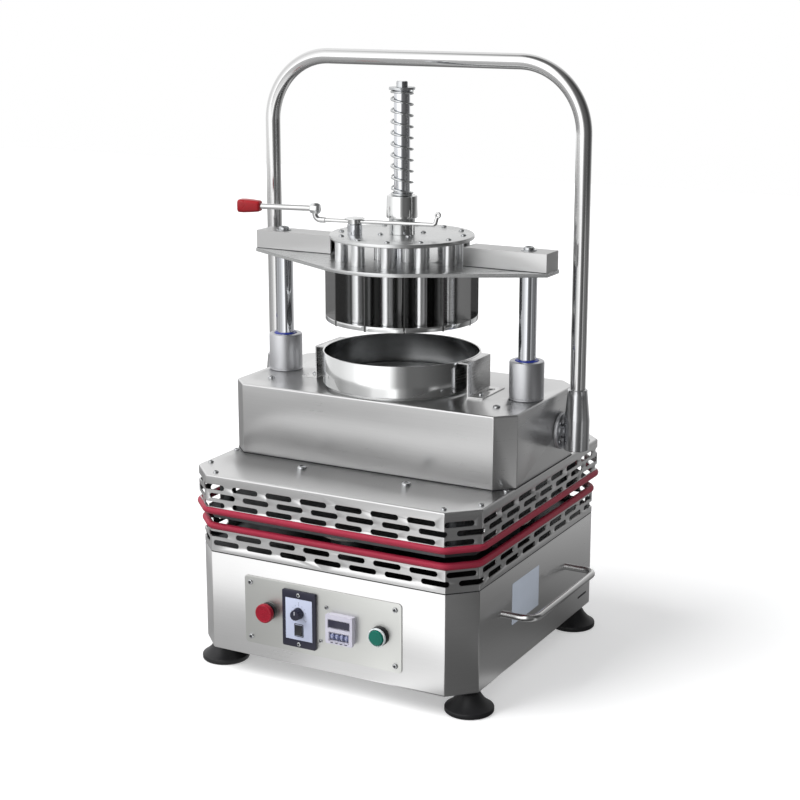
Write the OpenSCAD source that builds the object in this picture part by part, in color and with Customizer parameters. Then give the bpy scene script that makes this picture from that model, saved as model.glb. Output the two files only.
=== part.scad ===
// Dough divider rounder. Z is up, the front is -Y, and the origin is on the
// floor under the middle of the cabinet. All sizes are in millimetres.

/* [Cabinet] */
// Width of the cabinet, left to right
cab_w = 500; // [480:1:540]
// Depth of the cabinet, front to back
cab_d = 520; // [500:1:580]
// Height of the cabinet walls up to the seam
cab_h = 166; // [160:1:200]
// Leg of the chamfer at each upright corner of the cabinet
cab_chamfer = 39; // [30:1:50]
// Thickness of the sheet metal of the housings
sheet = 2; // [1.5:0.1:3]
// Height of the dark seam between cabinet and apron
seam_gap = 2; // [1:0.1:4]
// Thickness of the deck plate that closes the cabinet
deck_t = 5; // [4:0.5:8]
// Width of the flange folded in at the cabinet's foot
foot_flange = 50; // [44:1:60]
// Width of the narrow flanges that carry the deck and hold the apron
rim_flange = 16; // [12:1:24]

/* [Feet] */
// Height of the rubber feet
foot_h = 40; // [30:1:60]
// Diameter of a foot on the floor
foot_d = 78; // [60:1:90]
// Height of the upright rim of a foot
foot_rim = 9; // [5:1:14]
// Diameter of a foot's neck
foot_neck_d = 26; // [20:1:34]
// Distance of the feet's middles from the cabinet's sides
foot_inset_x = 24; // [22:1:50]
// Distance of the feet's middles from the cabinet's front and back
foot_inset_y = 56; // [50:1:80]

/* [Orbiting tray] */
// Width of the tray
tray_w = 512; // [490:1:540]
// Depth of the tray
tray_d = 536; // [510:1:580]
// Leg of the chamfer at each upright corner of the tray
tray_chamfer = 43; // [30:1:50]
// Height of the tray's top face above the floor
tray_z = 337; // [332:1:345]
// Radius of the red edge trim
trim_r = 5.75; // [4:0.25:7]
// Bend radius of the trim at the corners
trim_bend = 24; // [14:1:34]
// Height of the lower trim's middle above the floor
low_trim_z = 249.5; // [246:0.5:251]
// Height of the upper trim's middle above the floor
up_trim_z = 277.5; // [276:0.5:280]
// Thickness of the carriage plate
carriage_t = 8; // [6:1:10]
// Height of the carriage plate's under face above the floor
carriage_z = 262; // [260:1:266]
// Gap between the carriage plate's edge and the tray's skirt
carriage_gap = 12; // [4:1:20]
// Diameter of the posts between carriage plate and tray
tray_post_d = 26; // [18:1:34]

/* [Slots] */
// Length of a ventilation slot
slot_l = 48; // [30:1:54]
// Height of a ventilation slot
slot_h = 9; // [6:0.5:11]
// Distance between slots of one row
slot_pitch = 62.7; // [58:0.1:80]
// Distance between rows
row_pitch = 14.5; // [12:0.5:16]
// Sideways place of the first kind of row
row_phase_a = -14; // [-30:1:30]
// Sideways place of the second kind of row
row_phase_b = 6; // [-30:1:30]
// Height of the lower apron's top row above the floor
low_row_z = 236; // [232:0.5:238]
// Height of the tray skirt's top row above the floor
up_row_z = 317.5; // [314:0.5:322]

/* [Orbit drive] */
// Throw of the eccentrics
throw = 8; // [5:0.5:9]
// Radius of the main shaft
main_shaft_r = 17.5; // [14:0.5:20]
// Radius of the eccentric pin
ecc_pin_r = 15; // [10:0.5:17]
// Radius of the disc that carries the eccentric pin
ecc_disc_r = 34; // [30:1:38]
// Thickness of the eccentric discs
ecc_disc_t = 10; // [8:1:12]
// Height of the eccentric discs' top above the floor
ecc_disc_z = 240; // [236:1:242]
// Radius of the bearing housing's body
bearing_r = 38; // [30:1:44]
// Radius of the bearing housing's flange
bearing_flange_r = 62; // [54:1:70]
// Length of the bearing housing below the deck
bearing_drop = 55; // [40:1:70]
// Radius of the drive pulley's groove
drive_pulley_r = 100; // [80:1:105]
// Radius of the motor pulley's groove
motor_pulley_r = 28; // [20:1:34]
// How far a pulley's rims stand out of its groove
pulley_rim = 9; // [7:0.5:10]
// Height of the belt
belt_h = 12; // [8:1:14]
// Thickness of the belt
belt_t = 8; // [5:0.5:8]
// Height of the pulleys' middle above the floor
pulley_z = 72; // [66:1:78]
// Radius of the motor
motor_r = 62; // [50:1:66]
// Length of the motor's body
motor_l = 105; // [80:1:108]
// Distance of the motor's middle from the cabinet's left side
motor_inset = 110; // [100:1:120]
// Place of the motor from the middle, to the back
motor_y = 118; // [110:1:126]
// Radius of the motor shaft
motor_shaft_r = 8; // [6:0.5:10]
// Place of the idler crank from the middle, to the right
idler_x = 150; // [140:1:170]
// Place of the idler crank from the middle, to the back
idler_y = 150; // [140:1:170]
// Radius of the idler crank's shaft and pin
idler_r = 9; // [7:0.5:11]
// Radius of the idler crank's disc
idler_disc_r = 22; // [20:1:26]
// Radius of a slide pad
pad_r = 52; // [40:1:56]
// Thickness of a slide pad
pad_t = 16; // [12:1:18]
// Distance of the front and back slide pads from the cabinet's walls
pad_inset_y = 88; // [84:1:100]
// Distance of the left and right slide pads from the cabinet's sides
pad_inset_x = 72; // [70:1:80]
// Radius of the pedestals that the slide pads run on
pedestal_r = 34; // [24:1:40]
// Gap between slide pad and pedestal
pad_gap = 0.3; // [0.2:0.05:0.5]

/* [Control panel] */
// Width of the control panel
panel_w = 285; // [270:1:320]
// Height of the control panel
panel_h = 114; // [106:1:120]
// Thickness of the control panel
panel_t = 2; // [1.5:0.1:3]
// Sideways place of the panel's middle
panel_x = -4.5; // [-20:0.5:10]
// Height of the panel's middle above the floor
panel_z = 121; // [118:0.5:124]
// Corner radius of the panel
panel_corner = 6; // [3:1:10]
// Distance of the panel's screws from its edges
panel_screw_inset = 11; // [8:1:14]
// Sideways place of the stop button
stop_x = -102; // [-115:1:-96]
// Height of the stop button above the floor
stop_z = 124; // [110:1:135]
// Radius of the stop button's head
stop_r = 15.5; // [12:0.5:17]
// How far the stop button stands proud of the panel
stop_proud = 18; // [16:0.5:22]
// Travel of the stop button
stop_travel = 4; // [3:0.5:5]
// Sideways place of the start button
start_x = 101; // [90:1:108]
// Height of the start button above the floor
start_z = 121; // [110:1:135]
// Radius of the start button's cap
start_r = 12.5; // [10:0.5:13]
// Outer radius of the button collars
collar_r = 15.5; // [15:0.5:17]
// How far the start button's collar stands proud
collar_h = 14; // [12:0.5:16]
// Travel of the start button
start_travel = 3; // [2:0.5:4]
// Width of the speed controller
speed_w = 61; // [56:1:64]
// Height of the speed controller
speed_h = 94; // [88:1:98]
// How far the speed controller stands proud
speed_t = 5; // [4:0.5:6]
// Sideways place of the speed controller
speed_x = -43.5; // [-48:0.5:-42]
// Height of the speed knob above the floor
knob_z = 132; // [128:0.5:136]
// Radius of the speed knob
knob_r = 9.5; // [8:0.5:12]
// Length of the speed knob
knob_l = 13; // [10:1:18]
// Height of the rocker switch above the floor
rocker_z = 103; // [100:0.5:106]
// Width of the rocker switch
rocker_w = 12; // [10:0.5:14]
// Height of the rocker switch
rocker_h = 17; // [14:0.5:20]
// Tilt of the rocker switch each way
rocker_tilt = 6; // [4:1:8]
// Side of the square timer
timer_side = 48; // [44:1:52]
// How far the timer stands proud
timer_t = 13; // [12.5:0.5:15]
// Sideways place of the timer
timer_x = 34; // [28:1:40]
// Height of the timer's middle above the floor
timer_z = 120; // [116:1:124]
// Radius of a digit wheel
wheel_r = 6.2; // [5:0.1:6.4]
// Width of a digit wheel
wheel_w = 7; // [5:0.5:7.5]
// Distance between digit wheels
wheel_pitch = 8.4; // [8:0.1:9]
// Radius of the digit wheels' axle
wheel_axle_r = 1.2; // [0.8:0.1:1.5]

/* [Side handles] */
// Diameter of the side handles' rod
side_rod_d = 10; // [8:0.5:14]
// How far a side handle stands out from the cabinet
side_out = 60; // [40:1:70]
// Height of the side handles above the floor
side_z = 142; // [120:1:160]
// Length of a side handle, front to back
side_l = 259; // [200:1:300]
// Place of a side handle's middle, to the back
side_y = -15.5; // [-40:0.5:20]
// Bend radius of a side handle
side_bend = 20; // [14:1:26]

/* [Press housing] */
// How much narrower the press housing is than the tray, on each side
box_step = 0; // [0:1:8]
// Depth of the press housing
box_d = 273; // [262:1:300]
// Place of the press housing's middle, to the back
box_y = 2; // [-4:0.5:6]
// Height of the press housing
box_h = 118; // [114:1:126]
// Leg of the chamfer at each upright corner of the housing
box_chamfer = 28; // [20:1:40]
// Wall of the press housing
box_wall = 3; // [2:0.5:4]

/* [Dough bowl] */
// Place of the bowl, knives and posts, to the back
press_y = -5; // [-8:0.5:0]
// Outer radius of the dough ring
ring_r = 130; // [129:0.5:136]
// Wall of the dough ring
ring_wall = 3; // [2:0.25:3.5]
// Height of the dough ring
ring_h = 52; // [40:0.5:54]
// Gap under the dough ring
ring_gap = 4.5; // [3:0.5:6]
// Radius of the work plate
plate_r = 122; // [110:1:125]
// Thickness of the work plate
plate_t = 7; // [5:0.5:8]
// Distance of the bracket walls from the middle
bracket_x = 141; // [138:0.5:150]
// Length of a ring bracket, front to back
bracket_l = 82; // [60:1:100]
// Width of a bracket's foot
bracket_foot = 26; // [22:1:32]

/* [Guide posts] */
// Distance of the guide posts from the press housing's sides
post_inset = 32; // [30:0.5:36]
// Radius of the guide posts
post_r = 14; // [12:0.5:16]
// Outer radius of the guide bushes
bush_r = 27.75; // [24:0.25:30]
// Height of the guide bushes above the press housing
bush_h = 62; // [50:1:70]
// Height of the blue seal in a bush
seal_h = 6.5; // [5:0.5:8]
// Running clearance of the shafts and posts in their bores
run_gap = 0.05; // [0.02:0.01:0.1]
// Height of the crosshead blocks
crosshead_h = 27; // [24:1:32]
// Width of the crosshead blocks
crosshead_w = 48; // [40:1:50]

/* [Press head] */
// Height of the knives' lower edge above the floor
knife_z = 563; // [558:1:575]
// Outer radius of the knife cage
knife_r = 124.5; // [118:0.5:125]
// Height of the knives
knife_h = 93; // [86:1:100]
// Thickness of the knives
knife_t = 2; // [1.5:0.25:3]
// Radius of the inner knife circle
inner_knife_r = 62; // [56:1:66]
// Number of outer pieces of dough
outer_count = 12; // [10:2:14]
// Number of inner pieces of dough
inner_count = 4; // [3:1:5]
// Thickness of the yoke plate
yoke_t = 6; // [4:0.5:8]
// Radius of the yoke plate's middle
yoke_r = 147; // [138:1:155]
// How far the beams reach past the middle of the guide posts
beam_over = 40; // [30:1:42]
// Distance of the beams' inner ends from the middle
beam_start = 121; // [121:1:130]
// Depth of the beams, front to back
beam_d = 45; // [40:1:54]
// Height of the beams
beam_h = 30; // [26:1:40]
// Wall of the beams
beam_wall = 3; // [2:0.5:4]
// How far the head travels down
stroke = 100; // [90:1:101]

/* [Press plates and spring] */
// Radius of the top disc
disc_r = 117; // [114:1:122]
// Thickness of the top disc
disc_t = 6; // [4:0.5:8]
// Gap between the beams and the top disc
disc_gap = 4; // [3:0.5:8]
// Radius of the press pins
pin_r = 10.5; // [8:0.5:11]
// Distance of the outer press pins from the middle
pin_ring_r = 101; // [95:1:101]
// Distance of the inner press pins from the middle
inner_pin_r = 36; // [34:1:38]
// Thickness of the press plates
press_t = 8; // [6:1:12]
// Gap between a press plate and the knives round it
press_gap = 0.6; // [0.4:0.1:1]
// Gap round a press pin in the yoke plate
pin_gap = 0.4; // [0.3:0.05:0.6]
// How far the press plates can rise in the knives
press_rise = 38; // [30:1:40]
// Radius of the centre shaft
shaft_r = 13; // [11:0.5:13.5]
// Radius of the hub on the top disc
hub_r = 21; // [18:0.5:22]
// Height of the hub's narrow part
hub_h = 26; // [20:1:30]
// Radius of the spring collar
spring_collar_r = 25; // [22:0.5:26]
// Height of the spring collar
spring_collar_h = 36; // [30:1:44]
// Mean radius of the shaft spring
spring_r = 17; // [16:0.5:19]
// Wire of the shaft spring
spring_wire = 3.4; // [2.5:0.1:4]
// Length of the shaft spring
spring_l = 167; // [150:1:180]
// Number of turns of the shaft spring
spring_turns = 11; // [8:1:14]

/* [Lock lever] */
// Sideways place of the lever's post
lever_x = -63; // [-70:1:-58]
// Place of the lever's post, to the back
lever_y = -48; // [-50:1:-46]
// Turn of the lever at rest
lever_turn = 11.5; // [8:0.5:13]
// Height of the lever's eye above the disc
lever_lift = 17; // [15:1:18]
// Radius of the lever's thin rod
rod_r = 3; // [2.5:0.25:3.5]
// Radius of the lever's grip rod
grip_rod_r = 4.5; // [4:0.25:5]
// Length of the lever's arm to the hook
hook_arm = 134; // [120:1:150]
// Length of the lever's arm to its bend
bend_arm = 67; // [50:1:80]
// Length of the lever's arm to the end of the grip
grip_arm = 199; // [180:1:205]
// Length of the grip
grip_l = 38; // [30:1:50]
// How far the grip rod lies above the thin rod
lever_rise = 18; // [14:1:30]

/* [Press handle] */
// Gap between the handle's sockets and the pivot flanges
leg_gap = 1.7; // [0.5:0.1:6]
// Radius of the handle tube
tube_r = 12.5; // [10:0.5:15]
// Wall of the handle tube
tube_wall = 2; // [1.5:0.25:3]
// Bend radius of the handle tube
tube_bend = 110; // [80:1:140]
// Height of the top bar's middle above the floor
bar_z = 976; // [960:1:1050]
// Height of the handle's pivot above the floor
pivot_z = 391; // [388:1:394]
// Place of the handle's pivot, to the back
pivot_y = 61; // [56:1:66]
// Radius of the cross shaft
cross_r = 12.5; // [10:0.5:13]
// Swing of the handle, forwards
handle_swing = 75; // [70:1:80]
// Angle of the cranks above level at rest
crank_rise = 33; // [30:1:36]
// Radius of the handle's sockets
socket_r = 20.5; // [20:0.5:24]
// Height of a socket's straight part
socket_h = 51; // [44:1:60]
// Height of a socket's tapered part
socket_taper = 49; // [30:1:60]
// Radius of the pivot flanges
flange_r = 30; // [26:1:34]
// Thickness of the pivot flanges
flange_t = 6; // [5:0.5:11]
// Thickness of the crank arms
arm_t = 12; // [8:1:14]
// Radius of the crank pins
crank_pin_r = 5; // [4:0.5:6]

/* [Hidden] */
$fn = 64;

// Heights that follow from the sizes above
z_seam = foot_h + cab_h;
z_wall = z_seam - seam_gap / 2;
z_apron = z_seam + seam_gap / 2;
z_deck = z_seam - deck_t + sheet;
z_deck_top = z_deck + deck_t;
z_box = tray_z + box_h;
z_ring = z_box + ring_gap;
z_bush = z_box + bush_h;
z_yoke = knife_z + knife_h;
z_beam = z_yoke + yoke_t;
z_beam_top = z_beam + beam_h;
z_disc = z_beam_top + disc_gap;
z_disc_top = z_disc + disc_t;
z_collar = z_disc_top + hub_h;
z_spring = z_collar + spring_collar_h;
z_nut = z_spring + spring_l;
z_lever = z_disc_top + lever_lift;
z_carriage_top = carriage_z + carriage_t;

// Places that follow from the sizes above
foot_x = cab_w / 2 - foot_inset_x;
foot_y = cab_d / 2 - foot_inset_y;
motor_x = motor_inset - cab_w / 2;
pad_x = cab_w / 2 - pad_inset_x;
pad_y = cab_d / 2 - pad_inset_y;
box_w = tray_w - 2 * box_step;
post_x = box_w / 2 - post_inset;
beam_end = post_x + beam_over;
leg_x = box_w / 2 + flange_t + leg_gap + socket_r;

// Small fixed sizes of fasteners and folds
front = -cab_d / 2;
panel_face = front - panel_t;
sit = 0.02;
loose = 0.3;
idler_boss = 22;
idler_collar_h = 7;
z_collar_ring = z_deck - idler_boss - idler_collar_h - loose;
screw_head_r = 4.5;
screw_head_h = 2.6;
guard_screw_x = 95;
guard_screw_out = 33;
corner_screw_out = 8;
lid_screw_in = [49, 56];
side_screw_in = [12, 61];
end_screw_in = [52, 16];
bolt_r = 5;
bolt_head_r = 9.5;
bolt_head_h = 6;
cap_nut_r = 9;
washer_t = 4;
washer_r = 21;
spring_sides = 6;
spring_rings = 8;
slot_count = 20;
tray_lip = 2;
trim_steps = 6;
trim_sides = 16;

// Crank of the press handle: the pin's travel equals the head's stroke
crank_fall = handle_swing - crank_rise;
crank_r = stroke / (sin(crank_rise) + sin(crank_fall));
crank_steps = [for (i = [0:25]) i * handle_swing / 25];
pin_lag = [for (a = crank_steps)
    crank_r * sin(crank_rise - a) - (crank_r * sin(crank_rise) - stroke * a / handle_swing)];
pin_reach = [for (a = crank_steps) crank_r * cos(crank_rise - a)];
slot_room = 0.5;
slot_above = max(pin_lag) + slot_room;
slot_below = -min(pin_lag) + slot_room;
crank_pin_y = pivot_y - crank_r * cos(crank_rise);
crank_pin_z = pivot_z + crank_r * sin(crank_rise);
slot_y0 = pivot_y - max(pin_reach) - crank_pin_r - slot_room;
slot_y1 = pivot_y - min(pin_reach) + crank_pin_r + slot_room;
crosshead_z = crank_pin_z + slot_above + crank_pin_r + 4 - crosshead_h;
crosshead_in = post_x - crosshead_w / 2;
ear_t = 10;
ear_gap = 4;
arm_x = crosshead_in - ear_t - ear_gap - arm_t;
arm_h = 18;
crank_boss_r = 20;

// Corner points of a rectangle with chamfered corners, drawn in by an inset
function chamfered(w, d, c, inset = 0) =
    let (a = w / 2 - inset, b = d / 2 - inset, k = c - inset * (2 - sqrt(2)))
    [[-a + k, -b], [a - k, -b], [a, -b + k], [a, b - k],
     [a - k, b], [-a + k, b], [-a, b - k], [-a, -b + k]];

function ahead(angle) = [cos(angle), sin(angle)];

module plate(w, d, c, inset, t) {
    linear_extrude(t) polygon(chamfered(w, d, c, inset));
}

module wall_ring(w, d, c, inset, t, h) {
    linear_extrude(h) difference() {
        polygon(chamfered(w, d, c, inset));
        polygon(chamfered(w, d, c, inset + t));
    }
}

module rounded(w, h, r) {
    square([w - 2 * r, h], center = true);
    square([w, h - 2 * r], center = true);
    for (x = [-1, 1], y = [-1, 1])
        translate([x * (w / 2 - r), y * (h / 2 - r)]) circle(r);
}

module slot_2d(l, h) {
    square([l - h, h], center = true);
    for (x = [-1, 1]) translate([x * (l - h) / 2, 0]) circle(h / 2, $fn = 24);
}

// A wall of eight panels with rows of slots that run on round the corners
module slotted_band(w, d, c, z0, z1, rows) {
    face = [w - 2 * c, d - 2 * c];
    cut = c * sqrt(2);
    half = face[0] + face[1] + 2 * cut;
    run = [0, face[0] / 2 + cut / 2, face[0] / 2 + cut + face[1] / 2,
        face[0] / 2 + 1.5 * cut + face[1], half];
    difference() {
        translate([0, 0, z0]) wall_ring(w, d, c, 0, sheet, z1 - z0);
        for (side = [-1, 1], i = [0:4]) {
            len = i == 0 || i == 4 ? face[0] : i == 2 ? face[1] : cut;
            mid = i == 0 ? [0, -d / 2] : i == 1 ? [w / 2 - c / 2, -d / 2 + c / 2]
                : i == 2 ? [w / 2, 0] : i == 3 ? [w / 2 - c / 2, d / 2 - c / 2] : [0, d / 2];
            if (side == 1 || (i > 0 && i < 4))
                translate([side * mid[0], mid[1], 0]) rotate([0, 0, side * 45 * i])
                    for (row = rows, n = [-slot_count:slot_count]) {
                        at = row[1] + n * slot_pitch;
                        near = i == 4 ? at - sign(at) * half : at - side * run[i];
                        shown = abs(at) < half - slot_l / 2 - 4;
                        if (shown && abs(near) < (len + slot_l - slot_h) / 2 - 1)
                            translate([near, sheet + 0.5, row[0]]) rotate([90, 0, 0])
                                linear_extrude(sheet + 1) slot_2d(slot_l, slot_h);
                    }
        }
    }
}

// A round bead that follows the chamfered outline over the sheet's edge
module edge_trim(w, d, c, z) {
    corners = chamfered(w, d, c, sheet / 2);
    trim = trim_bend * tan(22.5);
    rings = [for (i = [0:7], a = [0:trim_steps]) let (turn = 45 * (i - 1 + a / trim_steps))
        [corners[i] - trim * ahead(45 * (i - 1)) + trim_bend * ahead(45 * (i - 1) + 90)
            + trim_bend * ahead(turn - 90), ahead(turn - 90)]];
    n = len(rings);
    points = [for (ring = rings, k = [0:trim_sides - 1])
        let (across = trim_r * cos(k * 360 / trim_sides), up = trim_r * sin(k * 360 / trim_sides))
        [ring[0][0] + across * ring[1][0], ring[0][1] + across * ring[1][1], z + up]];
    faces = [for (i = [0:n - 1], k = [0:trim_sides - 1])
        let (a = i * trim_sides, b = ((i + 1) % n) * trim_sides, m = (k + 1) % trim_sides)
        each [[a + k, a + m, b + k], [a + m, b + m, b + k]]];
    polyhedron(points, faces);
}

// A round rod from a to b
module rod(a, b, r) {
    v = b - a;
    translate(a) rotate([0, acos(v[2] / norm(v)), atan2(v[1], v[0])]) cylinder(r = r, h = norm(v));
}

module both_sides() {
    children();
    mirror([1, 0, 0]) children();
}

module at_posts() {
    for (x = [-1, 1]) translate([x * post_x, press_y, 0]) children();
}

module screw_head(r, h) {
    difference() {
        union() {
            cylinder(r = r, h = h * 0.55, $fn = 32);
            translate([0, 0, h * 0.55]) cylinder(r1 = r, r2 = r * 0.7, h = h * 0.45, $fn = 32);
        }
        translate([0, 0, h * 0.4]) cylinder(r = r * 0.45, h = h, $fn = 6);
    }
}

module facing_front(x, z) {
    translate([x, panel_face, z]) rotate([90, 0, 0]) children();
}

// Base
module cabinet_shell() {
    color("#bfc1c0") difference() {
        union() {
            translate([0, 0, foot_h])
                wall_ring(cab_w, cab_d, cab_chamfer, 0, sheet, z_wall - foot_h);
            translate([0, 0, foot_h]) wall_ring(cab_w, cab_d, cab_chamfer, 0, foot_flange, sheet);
            translate([0, 0, z_deck - sheet])
                wall_ring(cab_w, cab_d, cab_chamfer, 0, rim_flange, sheet);
        }
        at_gland() cylinder(r = gland_r + loose, h = 3 * sheet, center = true);
    }
}

gland_r = 8;
gland_x = 150;
gland_z = 90;
gland_out = stop_proud + panel_t;

module at_gland() {
    translate([gland_x, cab_d / 2, gland_z]) rotate([-90, 0, 0]) children();
}

module deck_plate() {
    color("#4b4e50") difference() {
        union() {
            translate([0, 0, z_deck]) plate(cab_w, cab_d, cab_chamfer, sheet, deck_t);
            at_pads() translate([0, 0, z_deck])
                cylinder(r = pedestal_r, h = carriage_z - pad_t - pad_gap - z_deck);
            translate([idler_x, idler_y + throw, z_deck - idler_boss])
                cylinder(r = idler_disc_r, h = ecc_disc_z - ecc_disc_t - z_deck + idler_boss - 0.3);
        }
        translate([0, throw, z_deck - 1]) cylinder(r = bearing_r + loose, h = deck_t + 2);
        translate([idler_x, idler_y + throw, 0]) cylinder(r = idler_r + run_gap, h = z_deck + 80);
        translate([motor_x, motor_y, 0]) cylinder(r = motor_r / 3, h = z_deck + 80);
    }
}

module at_pads() {
    for (p = [[0, -pad_y], [0, pad_y], [-pad_x, 0], [pad_x, 0]]) translate([p[0], p[1], 0]) children();
}

module lower_apron() {
    color("#cfd0cf") {
        slotted_band(cab_w, cab_d, cab_chamfer, z_apron, low_trim_z - trim_r,
            [[low_row_z, row_phase_a], [low_row_z - row_pitch, row_phase_b]]);
        translate([0, 0, z_deck_top])
            wall_ring(cab_w, cab_d, cab_chamfer, sheet / 2, rim_flange, sheet);
    }
}

module lower_trim() {
    color("#a02840") edge_trim(cab_w, cab_d, cab_chamfer, low_trim_z);
}

module rubber_feet() {
    color("#1c1c1e") for (x = [-1, 1], y = [-1, 1]) translate([x * foot_x, y * foot_y, 0])
        rotate_extrude() polygon([
            [0, 0], [foot_d / 2 - 2, 0], [foot_d / 2, 2], [foot_d / 2, foot_rim],
            [foot_neck_d / 2 + 4, foot_h - 8], [foot_neck_d / 2, foot_h - 6],
            [foot_neck_d / 2, foot_h], [0, foot_h]
        ]);
}

module drive_motor() {
    color("#5f6f78") translate([motor_x, motor_y, 0]) {
        translate([0, 0, z_deck - 8 - motor_l]) cylinder(r = motor_r, h = motor_l);
        translate([-motor_r, -motor_r, z_deck - 8]) linear_extrude(8)
            translate([motor_r, motor_r]) rounded(2 * motor_r, 2 * motor_r, 10);
        translate([0, 0, pulley_z + belt_h / 2 + 6])
            cylinder(r = motor_r / 3, h = z_deck - 8 - motor_l - pulley_z - belt_h / 2 - 6);
    }
}

// Flat shape of a belt's outer or inner edge round two pulleys
module belt_2d(grow) {
    d = [motor_x, motor_y - throw];
    span = norm(d);
    big = drive_pulley_r + grow;
    small = motor_pulley_r + grow;
    open = acos((big - small) / span);
    rotate(atan2(d[1], d[0])) {
        circle(big);
        translate([span, 0]) circle(small);
        polygon([
            big * ahead(open), big * ahead(-open),
            [span, 0] + small * ahead(-open), [span, 0] + small * ahead(open)
        ]);
    }
}

module drive_belt() {
    color("#202022") translate([0, throw, pulley_z - belt_h / 2]) linear_extrude(belt_h)
        difference() {
            belt_2d(loose + belt_t);
            belt_2d(loose);
        }
}

module pulley(r, bore) {
    difference() {
        union() {
            cylinder(r = r, h = belt_h + 10, center = true);
            for (z = [-1, 1]) translate([0, 0, z * (belt_h / 2 + 3)])
                cylinder(r = r + pulley_rim, h = 4, center = true);
        }
        cylinder(r = bore, h = belt_h + 12, center = true);
    }
}

module motor_pulley() {
    color("#8a8d90") translate([motor_x, motor_y, pulley_z]) {
        pulley(motor_pulley_r, motor_shaft_r + sit);
        translate([0, 0, -belt_h / 2 - 5]) cylinder(r = motor_shaft_r, h = belt_h + 10.5);
    }
}

module bearing_housing() {
    color("#6d7175") translate([0, throw, 0]) difference() {
        union() {
            translate([0, 0, z_deck - bearing_drop])
                cylinder(r = bearing_r, h = bearing_drop + deck_t + sit);
            translate([0, 0, z_deck_top]) cylinder(r = bearing_flange_r, h = 8);
            translate([0, 0, z_deck_top + 7.9])
                cylinder(r = bearing_r, h = ecc_disc_z - ecc_disc_t - z_deck_top - 8.4);
        }
        cylinder(r = main_shaft_r + run_gap, h = ecc_disc_z);
    }
}

module main_shaft() {
    color("#b8babc") translate([0, throw, 0]) {
        translate([0, 0, pulley_z - belt_h / 2 - 9])
            cylinder(r = main_shaft_r, h = ecc_disc_z - 5 - pulley_z + belt_h / 2 + 9);
        translate([0, 0, ecc_disc_z - ecc_disc_t]) cylinder(r = ecc_disc_r, h = ecc_disc_t);
        translate([0, -throw, ecc_disc_z - 1])
            cylinder(r = ecc_pin_r, h = z_carriage_top - ecc_disc_z + 1);
    }
}

module drive_pulley() {
    color("#8a8d90") translate([0, throw, pulley_z]) pulley(drive_pulley_r, main_shaft_r + run_gap);
}

module idler_crank() {
    color("#b8babc") translate([idler_x, idler_y + throw, 0]) {
        translate([0, 0, z_collar_ring])
            cylinder(r = idler_r, h = ecc_disc_z - 5 - z_collar_ring);
        translate([0, 0, ecc_disc_z - ecc_disc_t]) cylinder(r = idler_disc_r, h = ecc_disc_t);
        translate([0, -throw, ecc_disc_z - 1])
            cylinder(r = idler_r, h = z_carriage_top - ecc_disc_z + 1);
        translate([0, 0, z_collar_ring]) cylinder(r = idler_r + 5, h = idler_collar_h);
    }
}

module control_panel() {
    color("#c9cac8") translate([panel_x, front, panel_z]) rotate([90, 0, 0])
        linear_extrude(panel_t) rounded(panel_w, panel_h, panel_corner);
}

module panel_screws() {
    color("#8d8f90") {
        for (x = [-1, 1], z = [-1, 1])
            facing_front(panel_x + x * (panel_w / 2 - panel_screw_inset),
                panel_z + z * (panel_h / 2 - panel_screw_inset)) screw_head(screw_head_r, screw_head_h);
        for (p = [[timer_x - timer_side / 2 - 5, timer_z + timer_side / 2 + 5],
                  [speed_x + speed_w / 2 + 7, timer_z - timer_side / 2 - 5]])
            facing_front(p[0], p[1]) screw_head(screw_head_r * 0.75, screw_head_h);
        for (z = [-1, 1]) translate([speed_x, panel_face - speed_t, panel_z + z * (speed_h / 2 - 6)])
            rotate([90, 0, 0]) screw_head(screw_head_r * 0.8, 1.8);
    }
}

stem_r = 9;
stop_collar_h = 5;

module button_collars() {
    color("#1b1b1f") {
        facing_front(stop_x, stop_z) difference() {
            cylinder(r = collar_r - 1, h = stop_collar_h);
            translate([0, 0, -1]) cylinder(r = stem_r + loose, h = stop_collar_h + 2);
        }
        facing_front(start_x, start_z) difference() {
            union() {
                cylinder(r = collar_r, h = collar_h - 4);
                cylinder(r = collar_r - 0.6, h = collar_h);
            }
            translate([0, 0, collar_h - 5 - start_travel])
                cylinder(r = start_r + loose, h = start_travel + 10);
        }
    }
}

module stop_button() {
    color("#a8142c") facing_front(stop_x, stop_z) {
        translate([0, 0, stop_collar_h + stop_travel + 0.5])
            cylinder(r = stop_r, h = stop_proud - stop_collar_h - stop_travel - 2);
        translate([0, 0, stop_proud - 1.55]) cylinder(r1 = stop_r, r2 = stop_r - 1.5, h = 1.55);
        translate([0, 0, stop_travel + 0.3])
            cylinder(r = stem_r, h = stop_proud - stop_travel - 2);
    }
}

module start_button() {
    color("#0b7a55") facing_front(start_x, start_z)
        translate([0, 0, collar_h - 4.5]) {
            cylinder(r = start_r, h = 5.5);
            translate([0, 0, 5.5]) cylinder(r1 = start_r, r2 = start_r - 1, h = 1);
        }
}

rocker_pivot = 2.6;
rocker_pin_r = 1.2;
rocker_pin_l = 2.2;

module at_rocker() {
    translate([speed_x, panel_face - rocker_pivot, rocker_z]) children();
}

module speed_frame() {
    color("#15152a") difference() {
        translate([speed_x, panel_face, panel_z]) rotate([90, 0, 0]) difference() {
            linear_extrude(speed_t) rounded(speed_w, speed_h, 2);
            translate([0, -1, speed_t - 0.6]) linear_extrude(2) rounded(speed_w - 11, speed_h - 24, 1);
            translate([0, rocker_z - panel_z, -1]) linear_extrude(speed_t + 2)
                rounded(rocker_w + 1.2, rocker_h + 2.4, 1);
            translate([0, knob_z - panel_z, -1]) cylinder(r = 3 + run_gap, h = speed_t + 2);
        }
        at_rocker() rotate([0, 90, 0]) cylinder(
            r = rocker_pin_r + run_gap, h = rocker_w + 2 * rocker_pin_l + 1, center = true, $fn = 32);
    }
}

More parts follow.
